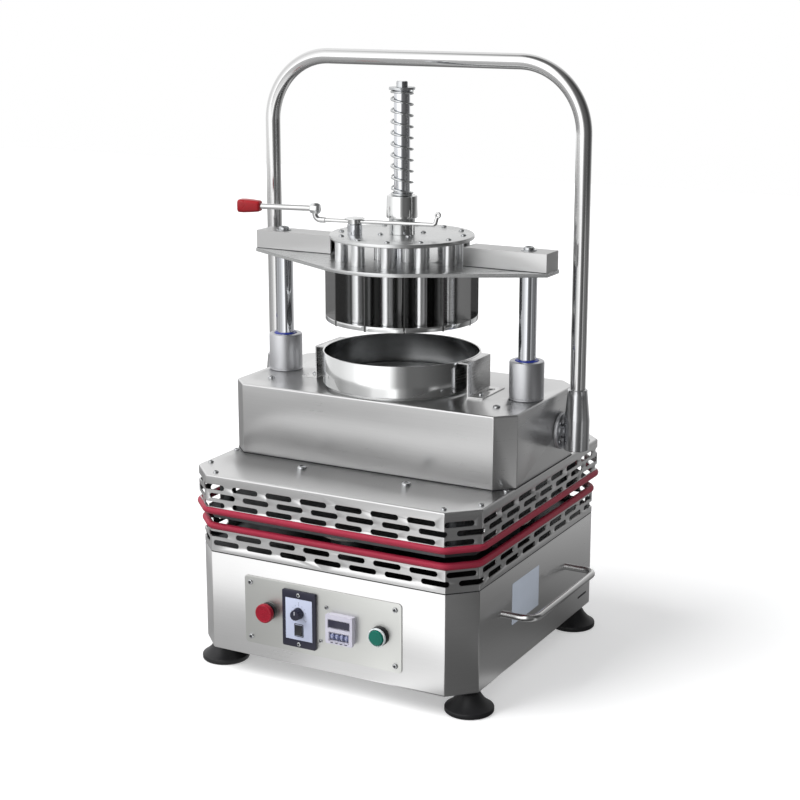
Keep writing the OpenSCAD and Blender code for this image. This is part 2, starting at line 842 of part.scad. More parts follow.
module speed_knob() {
    color("#0d1a2b") translate([speed_x, panel_face - speed_t, knob_z]) rotate([90, 0, 0]) {
        difference() {
            translate([0, 0, 0.3]) cylinder(r = knob_r, h = knob_l - 0.3);
            for (a = [0:30:330]) rotate([0, 0, a]) translate([knob_r + 0.5, 0, 3])
                cylinder(r = 1.1, h = knob_l, $fn = 16);
        }
        translate([0, 0, 0.5 - speed_t]) cylinder(r = 3, h = speed_t);
        translate([-0.6, knob_r * 0.25, knob_l - 0.5]) cube([1.2, knob_r * 0.7, 1]);
    }
}

module rocker_switch() {
    color("#101018") at_rocker() {
        rotate([-rocker_tilt, 0, 0]) translate([-rocker_w / 2, 0, 0])
            rotate([90, 0, 90]) linear_extrude(rocker_w) polygon([
                [1.4, -rocker_h / 2 + 1], [1.4, rocker_h / 2 - 1], [-2.4, rocker_h / 2],
                [-4.2, rocker_h / 2 - 0.5], [-3.4, 0], [-4.2, -rocker_h / 2 + 0.5],
                [-2.4, -rocker_h / 2]
            ]);
        rotate([0, 90, 0])
            cylinder(r = rocker_pin_r, h = rocker_w + 2 * rocker_pin_l, center = true, $fn = 32);
    }
}

wheel_z = timer_z - 12;
wheel_y = panel_face - wheel_r - loose;
pocket_w = 4 * wheel_pitch + 1;

module timer_case() {
    color("#c9c6d8") {
        difference() {
            translate([timer_x, panel_face, timer_z]) rotate([90, 0, 0]) difference() {
                union() {
                    linear_extrude(timer_t) rounded(timer_side - 3, timer_side - 3, 2);
                    translate([0, 0, timer_t - 6]) linear_extrude(6)
                        rounded(timer_side, timer_side, 2.5);
                }
                translate([0, 9, timer_t - 0.8]) linear_extrude(2) rounded(38, 13, 1);
            }
            translate([timer_x - pocket_w / 2, panel_face - timer_t - 1, wheel_z - wheel_r - 0.6])
                cube([pocket_w, timer_t + 2, 2 * wheel_r + 1.2]);
        }
        translate([timer_x, wheel_y, wheel_z]) rotate([0, 90, 0])
            cylinder(r = wheel_axle_r, h = pocket_w + 2, center = true);
    }
}

module digit_wheel(i) {
    color("#3f4468") translate([timer_x + (i - 2.5) * wheel_pitch, wheel_y, wheel_z])
        rotate([0, 90, 0]) difference() {
            cylinder(r = wheel_r, h = wheel_w, center = true);
            cylinder(r = wheel_axle_r + run_gap, h = wheel_w + 2, center = true);
            for (a = [0:36:324]) rotate([0, 0, a + 18]) translate([wheel_r + 0.35, 0, 0])
                cylinder(r = 0.8, h = wheel_w + 2, center = true, $fn = 16);
        }
}

module side_handle() {
    out = cab_w / 2 + side_out - side_rod_d / 2;
    color("#dfe1e2") for (y = [-1, 1]) translate([0, side_y, side_z]) mirror([0, y < 0 ? 1 : 0, 0]) {
        leg = side_l / 2 - side_rod_d / 2;
        translate([cab_w / 2, leg, 0]) rotate([0, 90, 0])
            cylinder(r = side_rod_d / 2, h = out - side_bend - cab_w / 2);
        translate([out - side_bend, leg - side_bend, 0]) rotate_extrude(angle = 90)
            translate([side_bend, 0]) circle(side_rod_d / 2);
        translate([out, leg - side_bend, 0]) rotate([90, 0, 0])
            cylinder(r = side_rod_d / 2, h = leg - side_bend);
        translate([cab_w / 2, leg, 0]) rotate([0, 90, 0]) cylinder(r = side_rod_d / 2 + 4, h = 3);
    }
}

module side_handles() {
    both_sides() side_handle();
}

module cable_gland() {
    color("#1b1b1d") at_gland() difference() {
        union() {
            translate([0, 0, -sheet - 6]) cylinder(r = gland_r, h = sheet + 8);
            translate([0, 0, -sheet - 6]) cylinder(r = gland_r * 1.6, h = 6, $fn = 6);
            cylinder(r = gland_r * 1.5, h = 7, $fn = 6);
            translate([0, 0, 6.9]) cylinder(r1 = gland_r * 1.2, r2 = gland_r * 0.8, h = gland_out - 6.9);
        }
        translate([0, 0, -20]) cylinder(r = gland_r * 0.45, h = gland_out + 30);
    }
}

// Orbiting carriage
module carriage_plate() {
    boss = ecc_disc_z + 1;
    color("#8b8e90") difference() {
        union() {
            translate([0, 0, carriage_z])
                plate(tray_w, tray_d, tray_chamfer, sheet + carriage_gap, carriage_t);
            for (x = [-1, 1], y = [-1, 1])
                translate([x * (tray_w / 2 - 50), y * (tray_d / 2 - 52), carriage_z])
                    cylinder(r = tray_post_d / 2, h = tray_z - sheet - carriage_z);
            translate([0, 0, boss]) cylinder(r = ecc_disc_r, h = carriage_z - boss + 1);
            translate([idler_x, idler_y, boss]) cylinder(r = idler_disc_r, h = carriage_z - boss + 1);
        }
        cylinder(r = ecc_pin_r + run_gap, h = tray_z);
        translate([idler_x, idler_y, 0]) cylinder(r = idler_r + run_gap, h = tray_z);
    }
}

module slide_pads() {
    color("#eceae4") at_pads() translate([0, 0, carriage_z - pad_t]) rotate_extrude()
        polygon([[0, 0], [pad_r - 2, 0], [pad_r, 2], [pad_r, pad_t], [0, pad_t]]);
}

module tray_cover() {
    color("#d3d4d3") {
        difference() {
            translate([0, 0, tray_z - sheet]) plate(tray_w, tray_d, tray_chamfer, 0, sheet);
            translate([0, box_y, tray_z - sheet - 1])
                plate(box_w, box_d, box_chamfer, box_wall + tray_lip, sheet + 2);
        }
        slotted_band(tray_w, tray_d, tray_chamfer, up_trim_z + trim_r, tray_z - sheet / 2,
            [[up_row_z, row_phase_a], [up_row_z - row_pitch, row_phase_b],
             [up_row_z - 2 * row_pitch, row_phase_a]]);
    }
}

module upper_trim() {
    color("#a02840") edge_trim(tray_w, tray_d, tray_chamfer, up_trim_z);
}

module cross_hole(r) {
    translate([0, pivot_y, pivot_z]) rotate([0, 90, 0]) cylinder(r = r, h = 2 * leg_x, center = true);
}

spigot_r = 20;

module press_housing() {
    color("#c4c6c6") difference() {
        translate([0, box_y, tray_z]) plate(box_w, box_d, box_chamfer, 0, box_h);
        translate([0, box_y, tray_z - 1]) plate(box_w, box_d, box_chamfer, box_wall, box_h - box_wall + 1);
        at_posts() translate([0, 0, tray_z]) cylinder(r = spigot_r, h = box_h + 1);
        cross_hole(cross_r + 2);
    }
}

module guide_bushes() {
    color("#b9bbbd") at_posts() difference() {
        union() {
            translate([0, 0, z_box]) cylinder(r = bush_r, h = bush_h);
            translate([0, 0, z_box - box_wall]) cylinder(r = spigot_r - sit, h = box_wall + 1);
        }
        cylinder(r = post_r + run_gap, h = z_bush + 1);
        translate([0, 0, z_bush - seal_h + 1.5]) cylinder(r = post_r + 5, h = seal_h);
    }
}

module bush_seals() {
    color("#2c49b8") at_posts() translate([0, 0, z_bush - seal_h + 1.5]) difference() {
        cylinder(r = post_r + 5 - sit, h = seal_h);
        translate([0, 0, -1]) cylinder(r = post_r + 2 * run_gap, h = seal_h + 2);
    }
}

module dough_ring() {
    color("#e2e3e3") translate([0, press_y, z_ring]) difference() {
        cylinder(r = ring_r, h = ring_h, $fn = 96);
        translate([0, 0, -1]) cylinder(r = ring_r - ring_wall, h = ring_h + 2, $fn = 96);
    }
}

module work_plate() {
    color("#d8d9da") translate([0, press_y, z_box]) cylinder(r = plate_r, h = plate_t, $fn = 96);
}

module ring_brackets() {
    top = z_ring + ring_h - 1;
    color("#c8caca") both_sides() translate([0, press_y, 0]) difference() {
        union() {
            translate([bracket_x - sheet, -bracket_l / 2, z_box]) cube([sheet, bracket_l, top - z_box]);
            translate([ring_r * 0.75, -bracket_l / 2, top - sheet])
                cube([bracket_x - ring_r * 0.75, bracket_l, sheet]);
            translate([bracket_x - sheet, -bracket_l / 2, z_box])
                cube([bracket_foot + sheet, bracket_l, sheet]);
        }
        cylinder(r = ring_r + 0.05, h = top + 10, $fn = 96);
        translate([bracket_x + bracket_foot / 2, bracket_l / 5, z_box - 1]) linear_extrude(sheet + 2)
            rotate(90) slot_2d(22, 9);
        translate([bracket_x, 0, (top + z_box) / 2]) rotate([0, 90, 0])
            cylinder(r = 2, h = 10, center = true);
    }
}

module cover_screws() {
    big = screw_head_r * 1.7;
    corner = box_chamfer / 2 - corner_screw_out / sqrt(2);
    color("#9fa1a3") {
        for (x = [-1, 1]) {
            for (in = [side_screw_in, end_screw_in], y = [-1, 1])
                translate([x * (tray_w / 2 - in[0]), y * (tray_d / 2 - in[1]), tray_z])
                    screw_head(screw_head_r, screw_head_h);
            translate([x * (box_w / 2 - corner), box_y - box_d / 2 + corner, tray_z])
                screw_head(screw_head_r, screw_head_h);
            for (y = [-1, 1]) {
                translate([x * guard_screw_x, box_y + y * (box_d / 2 + guard_screw_out), tray_z])
                    screw_head(big, 4);
                translate([x * (box_w / 2 - lid_screw_in[0]), box_y + y * (box_d / 2 - lid_screw_in[1]), z_box])
                    screw_head(screw_head_r * 1.3, 3);
            }
            translate([x * (bracket_x + bracket_foot / 2), press_y - bracket_l / 4, z_box + sheet])
                screw_head(screw_head_r, 3);
            for (a = [45:90:315]) translate([x * (box_w / 2 + flange_t), 0, 0])
                translate([0, pivot_y, pivot_z]) rotate([a, 0, 0]) translate([0, flange_r * 0.72, 0])
                    rotate([0, x * 90, 0]) cylinder(r = 3, h = 1.2, $fn = 24);
        }
    }
}

module pivot_flanges() {
    color("#a9abad") both_sides() translate([box_w / 2, pivot_y, pivot_z]) rotate([0, 90, 0])
        difference() {
            cylinder(r = flange_r, h = flange_t);
            translate([0, 0, -1]) cylinder(r = cross_r + run_gap, h = flange_t + 2);
        }
}

spring_sleeve_r = 18;
spring_sleeve_x = 40;
spring_sleeve_l = 90;
spring_lug = 10;

module torsion_springs() {
    color("#6f7274") both_sides() translate([spring_sleeve_x, pivot_y, pivot_z]) difference() {
        union() {
            rotate([0, 90, 0]) cylinder(r = spring_sleeve_r, h = spring_sleeve_l);
            translate([2 * spring_lug, -spring_lug / 2, 0])
                cube([spring_lug, spring_lug, z_box - box_wall - pivot_z]);
        }
        translate([-1, 0, 0]) rotate([0, 90, 0]) cylinder(r = cross_r + loose, h = spring_sleeve_l + 2);
    }
}

// Press handle
module handle_tube_solid(r) {
    top = bar_z - tube_bend;
    low = pivot_z + cross_r + 6;
    both_sides() {
        translate([leg_x, pivot_y, low]) cylinder(r = r, h = top - low);
        translate([leg_x - tube_bend, pivot_y, top]) rotate([90, 0, 0])
            rotate_extrude(angle = 90) translate([tube_bend, 0]) circle(r);
    }
    translate([-leg_x + tube_bend, pivot_y, bar_z]) rotate([0, 90, 0])
        cylinder(r = r, h = 2 * (leg_x - tube_bend));
}

module handle_tube() {
    color("#d5d7d8") difference() {
        handle_tube_solid(tube_r);
        handle_tube_solid(tube_r - tube_wall);
    }
}

module handle_sockets() {
    low = pivot_z - socket_h * 0.55;
    seat = pivot_z + cross_r + 6;
    color("#b4b6b8") both_sides() translate([leg_x, pivot_y, 0]) difference() {
        union() {
            translate([0, 0, low]) cylinder(r = socket_r, h = socket_h);
            translate([0, 0, low + socket_h])
                cylinder(r1 = socket_r, r2 = tube_r + 5.5, h = socket_taper);
        }
        translate([0, 0, seat]) cylinder(r = tube_r + sit, h = socket_h + socket_taper);
        translate([0, 0, pivot_z]) rotate([0, 90, 0])
            cylinder(r = cross_r + sit, h = 3 * socket_r, center = true);
    }
}

module crank_shaft() {
    color("#9a9c9e") {
        translate([0, pivot_y, pivot_z]) rotate([0, 90, 0])
            cylinder(r = cross_r, h = 2 * (leg_x + socket_r - 4), center = true);
        both_sides() translate([arm_x, 0, 0]) {
            translate([0, pivot_y, pivot_z]) rotate([0, 90, 0]) cylinder(r = crank_boss_r, h = arm_t);
            translate([0, crank_pin_y, crank_pin_z]) rotate([0, 90, 0])
                cylinder(r = crank_pin_r + 6, h = arm_t);
            translate([1, pivot_y, pivot_z]) rotate([-crank_rise, 0, 0])
                translate([0, -crank_r, -arm_h / 2]) cube([arm_t - 2, crank_r, arm_h]);
            translate([1, crank_pin_y, crank_pin_z]) rotate([0, 90, 0])
                cylinder(r = crank_pin_r, h = arm_t + ear_gap + ear_t - 2.5);
        }
    }
}

// Press head
module guide_posts() {
    color("#e6e8ea") at_posts() difference() {
        translate([0, 0, crosshead_z + 4]) cylinder(r = post_r, h = z_yoke - crosshead_z - 4);
        translate([0, 0, z_yoke - 30]) cylinder(r = bolt_r + sit, h = 31);
    }
}

module crossheads() {
    color("#7d8184") both_sides() difference() {
        union() {
            translate([crosshead_in, press_y - crosshead_w / 2, crosshead_z])
                cube([crosshead_w, crosshead_w, crosshead_h]);
            translate([crosshead_in - ear_t, slot_y0 - 7, crosshead_z])
                cube([ear_t + 1, slot_y1 - slot_y0 + 14, crosshead_h]);
        }
        translate([post_x, press_y, crosshead_z + 4]) cylinder(r = post_r + sit, h = crosshead_h);
        translate([crosshead_in - ear_t - 1, slot_y0, crank_pin_z - crank_pin_r - slot_below])
            cube([ear_t + 0.5, slot_y1 - slot_y0, 2 * crank_pin_r + slot_below + slot_above]);
    }
}

module cross_beams() {
    color("#b7b9ba") both_sides() difference() {
        translate([beam_start, press_y - beam_d / 2, z_beam]) cube([beam_end - beam_start, beam_d, beam_h]);
        translate([beam_start - 1, press_y - beam_d / 2 + beam_wall, z_beam + beam_wall])
            cube([beam_end - beam_start + 1 - beam_wall, beam_d - 2 * beam_wall, beam_h - 2 * beam_wall]);
        translate([post_x, press_y, z_beam - 1]) cylinder(r = bolt_r + loose, h = beam_h + 2);
    }
}

module at_outer_pins() {
    for (k = [0:outer_count - 1]) rotate((k + 0.5) * 360 / outer_count)
        translate([pin_ring_r, 0, 0]) children();
}

module at_inner_pins() {
    for (k = [0:inner_count - 1]) rotate((k + 0.5) * 360 / inner_count)
        translate([inner_pin_r, 0, 0]) children();
}

yoke_tip = beam_end + 2;

module yoke_plate() {
    tip = norm([yoke_tip, beam_d / 2]);
    touch = (yoke_r - sit) * ahead(acos(yoke_r / tip) + atan2(beam_d / 2, yoke_tip));
    color("#c2c4c5") translate([0, press_y, z_yoke]) difference() {
        union() {
            cylinder(r = yoke_r, h = yoke_t, $fn = 128);
            linear_extrude(yoke_t) polygon([
                touch, [yoke_tip, beam_d / 2], [yoke_tip, -beam_d / 2], [touch[0], -touch[1]],
                [-touch[0], -touch[1]], [-yoke_tip, -beam_d / 2], [-yoke_tip, beam_d / 2],
                [-touch[0], touch[1]]
            ]);
        }
        translate([0, 0, -1]) {
            at_outer_pins() cylinder(r = pin_r + pin_gap, h = yoke_t + 2);
            at_inner_pins() cylinder(r = pin_r + pin_gap, h = yoke_t + 2);
            for (x = [-1, 1]) translate([x * post_x, 0, 0]) cylinder(r = bolt_r + loose, h = yoke_t + 2);
            cylinder(r = shaft_r / 2 + sit, h = yoke_t + 2);
        }
    }
}

module knife_cage() {
    color("#8f9193") translate([0, press_y, knife_z]) {
        difference() {
            cylinder(r = inner_knife_r + knife_t / 2, h = knife_h, $fn = 96);
            translate([0, 0, -1]) cylinder(r = inner_knife_r - knife_t / 2, h = knife_h + 2, $fn = 96);
        }
        for (k = [0:outer_count - 1]) rotate(k * 360 / outer_count)
            translate([inner_knife_r, -knife_t / 2, 0]) cube([knife_r - inner_knife_r, knife_t, knife_h]);
        for (k = [0:inner_count - 1]) rotate(k * 360 / inner_count)
            translate([0, -knife_t / 2, 0]) cube([inner_knife_r, knife_t, knife_h]);
    }
}

module centre_shaft() {
    color("#dcdee0") translate([0, press_y, 0]) {
        translate([0, 0, z_yoke]) cylinder(r = shaft_r / 2, h = yoke_t + 1);
        translate([0, 0, z_beam]) cylinder(r = shaft_r, h = z_nut - z_beam);
        translate([0, 0, z_nut - 1]) cylinder(r = shaft_r / 2, h = washer_t + 10);
    }
}

module shaft_nut() {
    color("#c9cbcd") translate([0, press_y, z_nut]) {
        difference() {
            cylinder(r = washer_r, h = washer_t);
            translate([0, 0, -1]) cylinder(r = shaft_r / 2 + sit, h = washer_t + 2);
        }
        translate([0, 0, washer_t]) difference() {
            cylinder(r = cap_nut_r * 1.1, h = 9, $fn = 6);
            translate([0, 0, -1]) cylinder(r = shaft_r / 2 + sit, h = 12);
        }
    }
}

module beam_bolts() {
    color("#a7a9ab") at_posts() {
        translate([0, 0, z_yoke - 28]) cylinder(r = bolt_r, h = z_beam_top - z_yoke + 29);
        translate([0, 0, z_beam_top]) screw_head(bolt_head_r, bolt_head_h);
    }
}

// Press plates and their spring
module top_disc() {
    color("#d2d4d5") translate([0, press_y, z_disc]) difference() {
        cylinder(r = disc_r, h = disc_t, $fn = 128);
        translate([0, 0, -1]) cylinder(r = shaft_r + run_gap, h = disc_t + 2);
    }
}

module spring_collar() {
    color("#cfd1d3") translate([0, press_y, z_disc_top]) difference() {
        union() {
            cylinder(r = hub_r, h = hub_h + 1);
            translate([0, 0, hub_h]) cylinder(r = spring_collar_r, h = spring_collar_h);
        }
        translate([0, 0, -1]) cylinder(r = shaft_r + run_gap, h = hub_h + spring_collar_h + 2);
    }
}

module press_pins() {
    color("#e3e5e6") translate([0, press_y, knife_z + 1 + press_t]) {
        at_outer_pins() cylinder(r = pin_r, h = z_disc - knife_z - 1 - press_t);
        at_inner_pins() cylinder(r = pin_r, h = z_disc - knife_z - 1 - press_t);
    }
}

module press_plates() {
    gap = knife_t / 2 + press_gap;
    color("#b3b5b7") translate([0, press_y, knife_z + 1]) linear_extrude(press_t) {
        difference() {
            circle(knife_r - press_gap, $fn = 128);
            circle(inner_knife_r + gap, $fn = 96);
            for (k = [0:outer_count - 1]) rotate(k * 360 / outer_count)
                translate([0, -gap]) square([knife_r + 5, 2 * gap]);
        }
        difference() {
            circle(inner_knife_r - gap, $fn = 96);
            for (k = [0:inner_count - 1]) rotate(k * 360 / inner_count)
                translate([-gap, -gap]) square([knife_r, 2 * gap]);
        }
    }
}

module disc_screws() {
    color("#8f9193") translate([0, press_y, z_disc_top]) {
        at_outer_pins() screw_head(screw_head_r, screw_head_h);
        at_inner_pins() screw_head(screw_head_r, screw_head_h);
    }
}

eye_r = 11;
eye_h = 8;
lever_pin_r = 5;

module lever_post() {
    color("#c6c8ca") translate([lever_x, lever_y, z_disc_top]) {
        cylinder(r = eye_r + 1, h = lever_lift - 0.1);
        cylinder(r = lever_pin_r, h = lever_lift + eye_h + 1);
        translate([0, 0, lever_lift + eye_h + 0.1]) cylinder(r = eye_r + 5.5, h = 3);
    }
}

module in_lever() {
    translate([lever_x, lever_y, z_lever + eye_h / 2]) rotate(lever_turn) children();
}

module lock_lever() {
    hook = [hook_arm, 0, 0];
    bend = [-bend_arm, 0, 0];
    rise = [-bend_arm, 0, lever_rise];
    color("#c3c5c7") in_lever() difference() {
        union() {
            cylinder(r = eye_r, h = eye_h, center = true);
            rod([0, 0, 0], hook, rod_r);
            translate(hook) sphere(rod_r + sit);
            rod(hook, hook + [4, 0, 12], rod_r);
            rod([0, 0, 0], bend, rod_r);
            translate(bend) sphere(rod_r + sit);
            rod(bend, rise, rod_r);
            translate(rise) sphere(grip_rod_r + sit);
            rod(rise, [-grip_arm + grip_l, 0, lever_rise], grip_rod_r);
        }
        cylinder(r = lever_pin_r + run_gap, h = eye_h + 2, center = true);
    }
}

module lever_grip() {
    color("#b01c28") in_lever() translate([-grip_arm, 0, lever_rise]) rotate([0, 90, 0])
        rotate_extrude() polygon([
            [0, 0], [8, 0], [11, 3], [11, grip_l * 0.55], [8, grip_l - 1], [7, grip_l], [0, grip_l]
        ]);
}

// Path of the shaft spring: a short upright end, the turns, and an upright end
spring_rise = spring_l - 2 * spring_wire;
spring_steps = spring_turns * spring_rings;
spring_path = concat(
    [[spring_r, 0, 0]],
    [for (i = [0:spring_steps])
        let (a = i * 360 / spring_rings)
        [spring_r * cos(a), spring_r * sin(a), spring_wire + spring_rise * i / spring_steps]],
    [[spring_r, 0, spring_l]]);
spring_gap = min([for (i = [0:len(spring_path) - 1 - spring_rings])
    norm(spring_path[i + spring_rings] - spring_path[i])]) - spring_wire;
echo(shaft_spring_gap = spring_gap);

function unit(v) = v / norm(v);

// One ring of points round a path point, square to the path there
function wire_ring(path, i, r, sides) =
    let (
        last = len(path) - 1,
        along = i == 0 || i == last ? [0, 0, 1] : unit(path[i + 1] - path[i - 1]),
        out = unit([path[i][0], path[i][1], 0]),
        side = unit(cross(along, out)),
        true_out = cross(side, along)
    )
    [for (k = [0:sides - 1])
        path[i] + r * (cos(k * 360 / sides) * true_out + sin(k * 360 / sides) * side)];

module wire(path, r, sides) {
    n = len(path);
    points = [for (i = [0:n - 1]) each wire_ring(path, i, r, sides)];
    walls = [for (i = [0:n - 2], k = [0:sides - 1])
        let (a = i * sides + k, b = i * sides + (k + 1) % sides)
        each [[a, a + sides, b], [b, a + sides, b + sides]]];
    ends = [for (k = [1:sides - 2])
        each [[0, k, k + 1], [(n - 1) * sides, (n - 1) * sides + k + 1, (n - 1) * sides + k]]];
    polyhedron(points, concat(walls, ends));
}

module shaft_spring() {
    color("#d9dbdd") translate([0, press_y, z_spring]) wire(spring_path, spring_wire / 2, spring_sides);
}

cabinet_shell();
deck_plate();
lower_apron();
lower_trim();
rubber_feet();
drive_motor();
drive_belt();
bearing_housing();
control_panel();
panel_screws();
button_collars();
speed_frame();
timer_case();
side_handles();
cable_gland();
stop_button();
start_button();
speed_knob();
rocker_switch();
digit_wheel(1);  // digit_wheel_1
digit_wheel(2);  // digit_wheel_2
digit_wheel(3);  // digit_wheel_3
digit_wheel(4);  // digit_wheel_4
motor_pulley();
main_shaft();
drive_pulley();
idler_crank();
carriage_plate();
slide_pads();
tray_cover();
upper_trim();
press_housing();
guide_bushes();
bush_seals();
dough_ring();
work_plate();
ring_brackets();
cover_screws();
pivot_flanges();
torsion_springs();
handle_tube();
handle_sockets();
crank_shaft();
guide_posts();
cross_beams();
yoke_plate();
knife_cage();
centre_shaft();
shaft_nut();
beam_bolts();
crossheads();
top_disc();
spring_collar();
press_pins();
press_plates();
disc_screws();
lever_post();
lock_lever();
lever_grip();
shaft_spring();
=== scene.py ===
import math
from bisect import bisect

import bmesh
import bpy
from bpy.props import FloatProperty, FloatVectorProperty, IntProperty, PointerProperty
from mathutils import Euler, Matrix, Vector
from mathutils.geometry import delaunay_2d_cdt


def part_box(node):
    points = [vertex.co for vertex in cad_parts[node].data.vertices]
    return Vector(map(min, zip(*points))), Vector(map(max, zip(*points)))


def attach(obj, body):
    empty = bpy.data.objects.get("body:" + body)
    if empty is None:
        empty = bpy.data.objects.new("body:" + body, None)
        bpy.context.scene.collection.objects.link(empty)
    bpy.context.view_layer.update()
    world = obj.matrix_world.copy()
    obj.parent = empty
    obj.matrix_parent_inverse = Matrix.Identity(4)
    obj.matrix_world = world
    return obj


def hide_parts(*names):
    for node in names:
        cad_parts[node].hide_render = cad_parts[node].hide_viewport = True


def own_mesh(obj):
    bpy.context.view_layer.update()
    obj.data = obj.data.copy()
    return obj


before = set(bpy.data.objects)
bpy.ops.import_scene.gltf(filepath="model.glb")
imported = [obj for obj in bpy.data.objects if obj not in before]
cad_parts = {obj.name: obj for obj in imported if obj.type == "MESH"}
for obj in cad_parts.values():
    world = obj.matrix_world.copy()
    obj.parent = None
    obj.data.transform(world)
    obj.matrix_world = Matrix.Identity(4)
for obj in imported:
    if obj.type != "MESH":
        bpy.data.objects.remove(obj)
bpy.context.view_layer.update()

bl_info = {
    "name": "Dough divider rounder",
    "version": (1, 0, 0),
    "blender": (4, 5, 0),
    "location": "3D View > Sidebar > Divider",
    "description": "Dresses the packed model of a bench dough divider and rounder",
    "category": "Object",
}

# The mesh code is written in millimetres; METRE turns it into the frame's metres.
METRE = 0.001
TURN, QUARTER, EIGHTH = 2 * math.pi, math.pi / 2, math.pi / 4
ROOT = math.sqrt(2)
UP, FORWARD = (0, 0, 1), (0, -1, 0)
SQUARE = ((1, 1), (-1, 1), (-1, -1), (1, -1))
# Edges that bend more than this are shaded sharp
CREASE = math.radians(32)


def mm_box(node):
    """Lowest and highest corner of a CAD node, in millimetres."""
    low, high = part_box(node)
    return low / METRE, high / METRE


def mm_middle(node):
    """The middle of a CAD node's box, in millimetres."""
    low, high = mm_box(node)
    return (low + high) / 2


def linear(value):
    """One sRGB channel as linear light."""
    return value / 12.92 if value <= 0.04045 else ((value + 0.055) / 1.055) ** 2.4


def paint(text):
    """A hex colour such as #a02840 as linear RGBA."""
    return tuple(linear(int(text[i:i + 2], 16) / 255) for i in (1, 3, 5)) + (1.0,)


def colour_property(name, text, description):
    return FloatVectorProperty(
        name=name, description=description, default=paint(text), subtype="COLOR", size=4, min=0, max=1)


def length_property(name, metres, description):
    return FloatProperty(
        name=name, description=description, default=metres, unit="LENGTH", min=0, precision=5)


class DividerSizes(bpy.types.PropertyGroup):
    """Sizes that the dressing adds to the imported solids"""
    sheet: length_property("Sheet", 0.002, "Thickness of the folded stainless sheet")
    fold: length_property("Fold", 0.003, "Outer radius of a fold in the sheet")
    edge: length_property("Edge", 0.00035, "Width of the deburred edge of cut sheet")
    trim_radius: length_property("Trim radius", 0.00575, "Radius of the red edge trim")
    trim_bend: length_property("Trim bend", 0.024, "Bend radius of the trim at the corners")
    slot_length: length_property("Slot length", 0.048, "Length of a ventilation slot")
    slot_height: length_property("Slot height", 0.009, "Height of a ventilation slot")
    slot_pitch: length_property("Slot pitch", 0.0627, "Distance between the slots of one row")
    row_pitch: length_property("Row pitch", 0.0145, "Distance between the rows of slots")
    tube_bend: length_property("Handle bend", 0.11, "Bend radius of the handle tube")
    wire: length_property("Spring wire", 0.0034, "Diameter of the shaft spring's wire")
    turns: IntProperty(
        name="Spring turns", description="Turns of the shaft spring", default=11, min=3, max=30)
    sides: IntProperty(name="Sides", description="Sides of a turned piece", default=72, min=16, max=256)


class DividerColours(bpy.types.PropertyGroup):
    """Colours of the finishes"""
    steel: colour_property("Stainless steel", "#dbdbdb", "Brushed and polished stainless steel")
    trim: colour_property("Edge trim", "#a02840", "Silicone edge trim")
    stop: colour_property("Stop button", "#9c0f29", "Cap of the stop button")
    start: colour_property("Start button", "#04695a", "Cap of the start button")
    grip: colour_property("Lever grip", "#a5141f", "Dipped grip of the lock lever")
    black: colour_property("Black plastic", "#17181c", "Moulded black parts")
    seal: colour_property("Seal", "#1d3190", "Wiper seals of the guide bushes")
    face: colour_property("Controller face", "#c8cfe6", "Pale face of the speed controller")
    case: colour_property("Timer case", "#d2d0de", "Moulded case of the timer")


def sizes():
    return bpy.context.scene.divider_sizes


def colours():
    return bpy.context.scene.divider_colours


# Materials

def add(tree, kind, links=None, **settings):
    """Adds one node; settings are its own, and links fill its sockets by a value or another socket."""
    made = tree.nodes.new(kind)
    for name, value in settings.items():
        setattr(made, name, value)
    for name, value in (links or {}).items():
        if isinstance(value, bpy.types.NodeSocket):
            tree.links.new(value, made.inputs[name])
        else:
            made.inputs[name].default_value = value
    return made


def emptied(owner):
    """The node tree of a new material or world, with nothing in it."""
    owner.use_nodes = True
    owner.node_tree.nodes.clear()
    return owner.node_tree


def blank_material(name):
    """A new material with only its shader joined to the output, as (material, tree, shader)."""
    material = bpy.data.materials.new(name)
    tree = emptied(material)
    shader = add(tree, "ShaderNodeBsdfPrincipled")
    add(tree, "ShaderNodeOutputMaterial", {"Surface": shader.outputs[0]})
    return material, tree, shader


def weathered(tree, shader, colour, cloud, grain, tint, rough, depth_mm):
    """Gives a shader its colour, roughness and bump.

    The colour and the roughness follow a cloud over the ranges tint and rough, and the bump a grain.
    """
    over = {"Value": cloud, "From Min": 0.3, "From Max": 0.7}
    shade = add(tree, "ShaderNodeMapRange", {**over, "To Min": tint[0], "To Max": tint[1]})
    base = add(tree, "ShaderNodeVectorMath", {0: colour[:3], "Scale": shade.outputs[0]}, operation="SCALE")
    level = add(tree, "ShaderNodeMapRange", {**over, "To Min": rough[0], "To Max": rough[1]})
    bump = add(tree, "ShaderNodeBump", {"Height": grain, "Distance": depth_mm * METRE, "Strength": 1.0})
    for made, socket in ((base, "Base Color"), (level, "Roughness"), (bump, "Normal")):
        tree.links.new(made.outputs[0], shader.inputs[socket])


